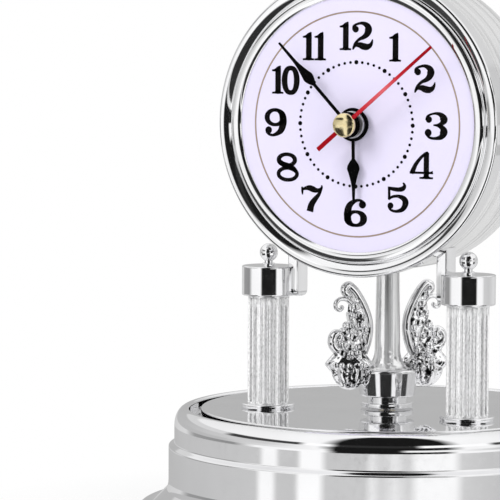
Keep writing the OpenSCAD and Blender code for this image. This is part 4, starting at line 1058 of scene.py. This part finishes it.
def build_head():
    """The drum with its bezel and rear cover, the dial's print and the hands."""
    piece("drum_shell", [in_head(turned(drum_profile(), 320))], DRUM_CHROME, "base", "chrome", "head_drum")
    piece("rolled_bezel", [in_head(turned(bezel_profile(), 320))], CHROME, "base", "chrome", "bezel")
    lid = in_head(turned(rear_profile(), 192, loop=False))
    piece("back_lid", [lid], BLACK_PLASTIC, "back", "black_plastic", "rear_cover")
    numbers = []
    for hour, (x, y) in NUMBER_AT.items():
        numbers += numeral(hour, x, y)
    piece("dial_numbers", numbers, NUMBER_INK, "base", "hand_black")
    piece("minute_dots", minute_dots(), NUMBER_INK, "base", "hand_black")
    half = RING_PRINT_W / 2
    ring = np.array([(-half, 0), (half, 0), (half, PRINT_T), (-half, PRINT_T)]) + [RING_PRINT_R, 0]
    piece("dial_ring", [in_head(turned(ring, 256))], RING_INK, "base", "brass")
    hour = spade_hand(*HOUR_HAND, HOUR_LIFT, HOUR_TURN)
    piece("hour_spade", hour, HAND_PAINT, "hour", "hand_black", "hour_hand")
    minute = spade_hand(*MINUTE_HAND, MINUTE_LIFT, MINUTE_TURN)
    piece("minute_spade", minute, HAND_PAINT, "minute", "hand_black", "minute_hand")
    piece("second_pointer", second_hand(), red_lacquer(), "second", "hand_red", "second_hand")
    piece("brass_cap", [cap_dome()], BRASS, "second", "brass", "second_cap")
    collet = in_head(hub_ring(4.65, HOUR_BORE, HOUR_LIFT + HAND_T, 1.3))
    piece("silver_collet", [collet], ALUMINIUM, "hour", "steel", "hour_collet")


def build_pendulum():
    """The spindle with its cup and foot, and the two ornaments."""
    for name, profile, finish, node in (("turned_spindle", spindle_profile(), SPINDLE_CHROME, "spindle"),
                                        ("cup", cup_profile(), CHROME, "hub_cup"),
                                        ("ring_foot", foot_profile(), CHROME, "hub_foot")):
        piece(name, [moved(turned(profile, 192), z=DECK_Z)], finish, "pendulum", "chrome", node)
    for name, arm in (("left", LEFT_ARM), ("right", LEFT_ARM + 180)):
        bulb = on_arm([petals(), bowl()], arm, ORNAMENT_X)
        piece(f"petal_bulb_{name}", bulb, PIT_SHADED_BULB_CHROME, "pendulum", "chrome", f"bulb_{name}")
        beads = on_arm(bead_collars(), arm, ORNAMENT_X)
        piece(f"bead_collars_{name}", beads, PIT_SHADED_CHROME, "pendulum", "chrome")
        piece(f"acanthus_{name}", on_arm(leaf(), arm), CAST_CHROME, "pendulum", "chrome", f"leaf_{name}")
        piece(f"worked_leaf_{name}", on_arm(leaf_body(), arm), PIT_SHADED_CHROME, "pendulum", "chrome")


def build_dome():
    """The glass dome in the base's groove."""
    shell = turned(dome_profile(), 192, loop=False)
    piece("clear_dome", [shell], dome_glass(), "dome", "glass", "glass_dome")


NODE_FINISH = {
    DIAL_PAINT: ["dial"],
    BLACK_PLASTIC: ["bottom_cover", "dial_nut", "setting_knob"],
    RUBBER: ["base_feet"],
    STEEL: ["cover_screws", "tie_rods", "tie_nuts", "bracket_screws", "drive_screws", "pendulum_shaft",
            "minute_arbor", "battery_contacts"],
    BRASS: ["guide_bush"],
    CASE_PLASTIC: ["movement_front", "movement_back", "drive_housing"],
    GEAR_PLASTIC: ["intermediate_wheel", "second_wheel", "third_wheel", "center_wheel", "minute_wheel",
                   "hour_wheel"],
    IRON: ["stator"],
    winding(): ["coil", "drive_coil"],
    board(): ["circuit_board"],
    sintered("ferrite", (0.09, 0.09, 0.10)): ["rotor", "drive_magnet"],
    cell_film(): ["battery"],
}


def finish_nodes():
    """Gives each solid that still shows its finish."""
    for finish, nodes in NODE_FINISH.items():
        for node in nodes:
            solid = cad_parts[node]
            solid.data.materials.clear()
            solid.data.materials.append(finish)


# Studio

def studio_camera():
    """A long lens at the photograph's own viewpoint."""
    data = bpy.data.cameras.new("view")
    data.lens = CAMERA_LENS
    data.sensor_width = 36
    data.clip_start, data.clip_end = 0.05, 20
    camera = set_up("view", data)
    az, el, roll = (math.radians(v) for v in (CAMERA_AZIMUTH, CAMERA_ELEVATION, CAMERA_ROLL))
    back = Vector((math.sin(az) * math.cos(el), -math.cos(az) * math.cos(el), math.sin(el)))
    right = Vector((math.cos(az), math.sin(az), 0))
    up = back.cross(right)
    across = right * math.cos(roll) - up * math.sin(roll)
    upright = right * math.sin(roll) + up * math.cos(roll)
    turn = Matrix((across, upright, back)).transposed()
    camera.matrix_world = Matrix.Translation(Vector(CAMERA_AT) * MM) @ turn.to_4x4()
    bpy.context.scene.camera = camera


# Kinds of ray: those that the eye sees straight on, and those that metal mirrors
SEEN = ["Is Camera Ray", "Is Transmission Ray"]
MIRRORED = ["Is Glossy Ray"]

# The set round the clock, ring above ring: angles from the studio's front, and the brightness there
SCREENS = [(-180, 0.5), (-120, 0.6), (-74, 0.64), (-71, 1.1), (-64, 1.1), (-61, 0.64), (-51, 0.62),
           (-48, 1.1), (-38, 1.1), (-34, 0.64), (-14, 0.66), (-10, 0.95), (-5, 0.75), (2, 0.95), (9, 0.75),
           (14, 1.1), (33, 1.1), (38, 0.7), (60, 0.6), (90, 0.64), (125, 0.55), (180, 0.5)]
LOW = [(-180, 0.6), (-140, 0.75), (-128, 0.35), (-92, 0.3), (-76, 1.05), (-36, 1.1), (-29, 0.01), (29, 0.01),
       (36, 1.1), (58, 1.05), (66, 0.7), (92, 0.65), (126, 0.8), (150, 0.7), (180, 0.6)]
STRIP = [(-180, 0.5), (-100, 0.56), (-60, 0.9), (-36, 1.05), (-30, 0.01), (4, 0.01), (9, 1.05), (36, 1.05),
         (60, 0.66), (125, 0.6), (180, 0.5)]
AISLE = [(-180, 0.49), (-150, 0.52), (-110, 0.64), (-70, 0.7), (-40, 1.05), (-30, 0.01), (30, 0.01),
         (40, 1.05), (56, 1.05), (66, 0.7), (95, 0.66), (130, 0.68), (150, 0.52), (180, 0.49)]
CLOTHS = [(-180, 0.7), (-104, 0.75), (-97, 0.05), (-52, 0.05), (-47, 1.15), (-34, 1.15), (-29, 0.03),
          (13, 0.03), (18, 1.15), (54, 1.15), (59, 0.07), (80, 0.07), (87, 0.75), (180, 0.7)]
OVERHEAD = [(-180, 0.9), (-60, 1.05), (-40, 1.05), (-30, 0.01), (30, 0.01), (40, 1.05), (60, 1.05),
            (180, 0.9)]
CEILING = [(-180, 1.05), (180, 1.05)]

# Each ring above the lowest one, with the heights between which it begins
RINGS = [(SCREENS, -0.180, -0.175), (LOW, -0.128, -0.124), (STRIP, -0.028, -0.018), (AISLE, 0.07, 0.12),
         (CLOTHS, 0.25, 0.28), (OVERHEAD, 0.40, 0.44), (CEILING, 0.983, 0.996)]


def rays(tree, kinds):
    """One where a ray is any of these kinds, else nought."""
    path = add(tree, "ShaderNodeLightPath")
    total = path.outputs[kinds[0]]
    for kind in kinds[1:]:
        total = add(tree, "ShaderNodeMath", {0: total, 1: path.outputs[kind]}, operation="MAXIMUM").outputs[0]
    return total


def both(tree, first, second):
    """The product of two shares."""
    return add(tree, "ShaderNodeMath", {0: first, 1: second}, operation="MULTIPLY").outputs[0]


def joined(tree, share, first, second):
    """Two shaders mixed by a share of the second."""
    return add(tree, "ShaderNodeMixShader", {"Fac": share, 1: first.outputs[0], 2: second.outputs[0]})


def studio_world():
    """White all round to the eye. Metal mirrors the set, ring above ring: dark cloths, pale screens, a low
    wall, a strip at eye level, an aisle, cloths again and a wall overhead, most of them dark towards the
    studio's front, and a white ceiling."""
    world = bpy.data.worlds.new("studio")
    bpy.context.scene.world = world
    world.use_nodes = True
    tree = world.node_tree
    tree.nodes.clear()
    way = add(tree, "ShaderNodeTexCoord").outputs["Generated"]
    height = add(tree, "ShaderNodeSeparateXYZ", {"Vector": way}).outputs["Z"]
    place = round_the_front(tree, way)
    colour = ring_tones(tree, place, CLOTHS)
    for stops, start, end in RINGS:
        begun = spread(tree, height, 0, 1, start, end)
        ring = {"Factor": begun, 6: colour, 7: ring_tones(tree, place, stops)}
        colour = add(tree, "ShaderNodeMix", ring, data_type="RGBA").outputs[2]
    set_light = add(tree, "ShaderNodeBackground", {"Color": colour, "Strength": 1})
    room_light = add(tree, "ShaderNodeBackground", {"Color": (0.97, 0.98, 1.0, 1), "Strength": 0.72})
    white = add(tree, "ShaderNodeBackground", {"Color": (1, 1, 1, 1), "Strength": 1})
    mirrored = joined(tree, rays(tree, MIRRORED), room_light, set_light)
    seen = joined(tree, rays(tree, SEEN), mirrored, white)
    add(tree, "ShaderNodeOutputWorld", {"Surface": seen.outputs[0]})


def round_the_front(tree, way):
    """Where a direction lies round the studio: 0 to 1 for -180 to 180 degrees from its front."""
    az = math.radians(CAMERA_AZIMUTH)
    right = along(tree, way, (math.cos(az), math.sin(az), 0))
    front = along(tree, way, (math.sin(az), -math.cos(az), 0))
    turn = add(tree, "ShaderNodeMath", {0: right, 1: front}, operation="ARCTAN2")
    return spread(tree, turn.outputs[0], 0, 1, -math.pi, math.pi)


def ring_tones(tree, place, stops):
    """Greys round the studio: each stop is an angle from its front and a brightness."""
    return tones(tree, place, *[((a + 180) / 360, grey(v)) for a, v in stops])


def studio_floor():
    """A round pale table, white to the eye, that keeps the clock's shadow near the foot. Metal sees the table
    only there, and the set round it elsewhere."""
    radius, sides, below = 0.54, 96, 0.0002
    r = np.linspace(0.001, radius, 12)[:, None]
    points, faces = grid_shell(rings(r, full_turn(sides), 0 * r - below))
    mesh = bpy.data.meshes.new("floor")
    mesh.from_pydata(points.tolist(), [], faces + [list(range(sides))])
    floor = set_up("floor", mesh)
    finish, tree, shader = blank("pale_floor", {"Base Color": (*grey(0.86), 1), "Roughness": 0.7})
    far = add(tree, "ShaderNodeVectorMath", {0: own_place(tree)}, operation="LENGTH").outputs["Value"]
    fade = spread(tree, far, 0.8, 1, 0.11, 0.17)
    white = add(tree, "ShaderNodeEmission", {"Color": (1, 1, 1, 1), "Strength": 1})
    open_floor = joined(tree, both(tree, fade, rays(tree, SEEN)), shader, white)
    open_set = add(tree, "ShaderNodeBsdfTransparent")
    away = spread(tree, far, 0, 1, 0.10, 0.13)
    shown = joined(tree, both(tree, away, rays(tree, MIRRORED)), open_floor, open_set)
    feed(tree, tree.nodes["Material Output"], {"Surface": shown.outputs[0]})
    mesh.materials.append(finish)


def studio_lamp(name, at, size, power):
    """A soft box that faces the clock and stays out of its mirror."""
    data = bpy.data.lights.new(name, "AREA")
    data.shape = "DISK"
    data.size = size
    data.energy = power
    lamp = set_up(name, data)
    lamp.location = at
    aim = Vector((0, 0, HEAD_Z * MM)) - Vector(at)
    lamp.rotation_mode = "QUATERNION"
    lamp.rotation_quaternion = aim.to_track_quat("-Z", "Y")
    lamp.visible_glossy = False


build_base()
build_head()
build_pendulum()
build_dome()
finish_nodes()
studio_camera()
studio_world()
studio_floor()
studio_lamp("key", (-0.5, -1.1, 0.9), 0.7, 9)
studio_lamp("fill", (1.1, -0.7, 0.7), 0.7, 4)

bpy.context.scene.view_settings.view_transform = "Standard"
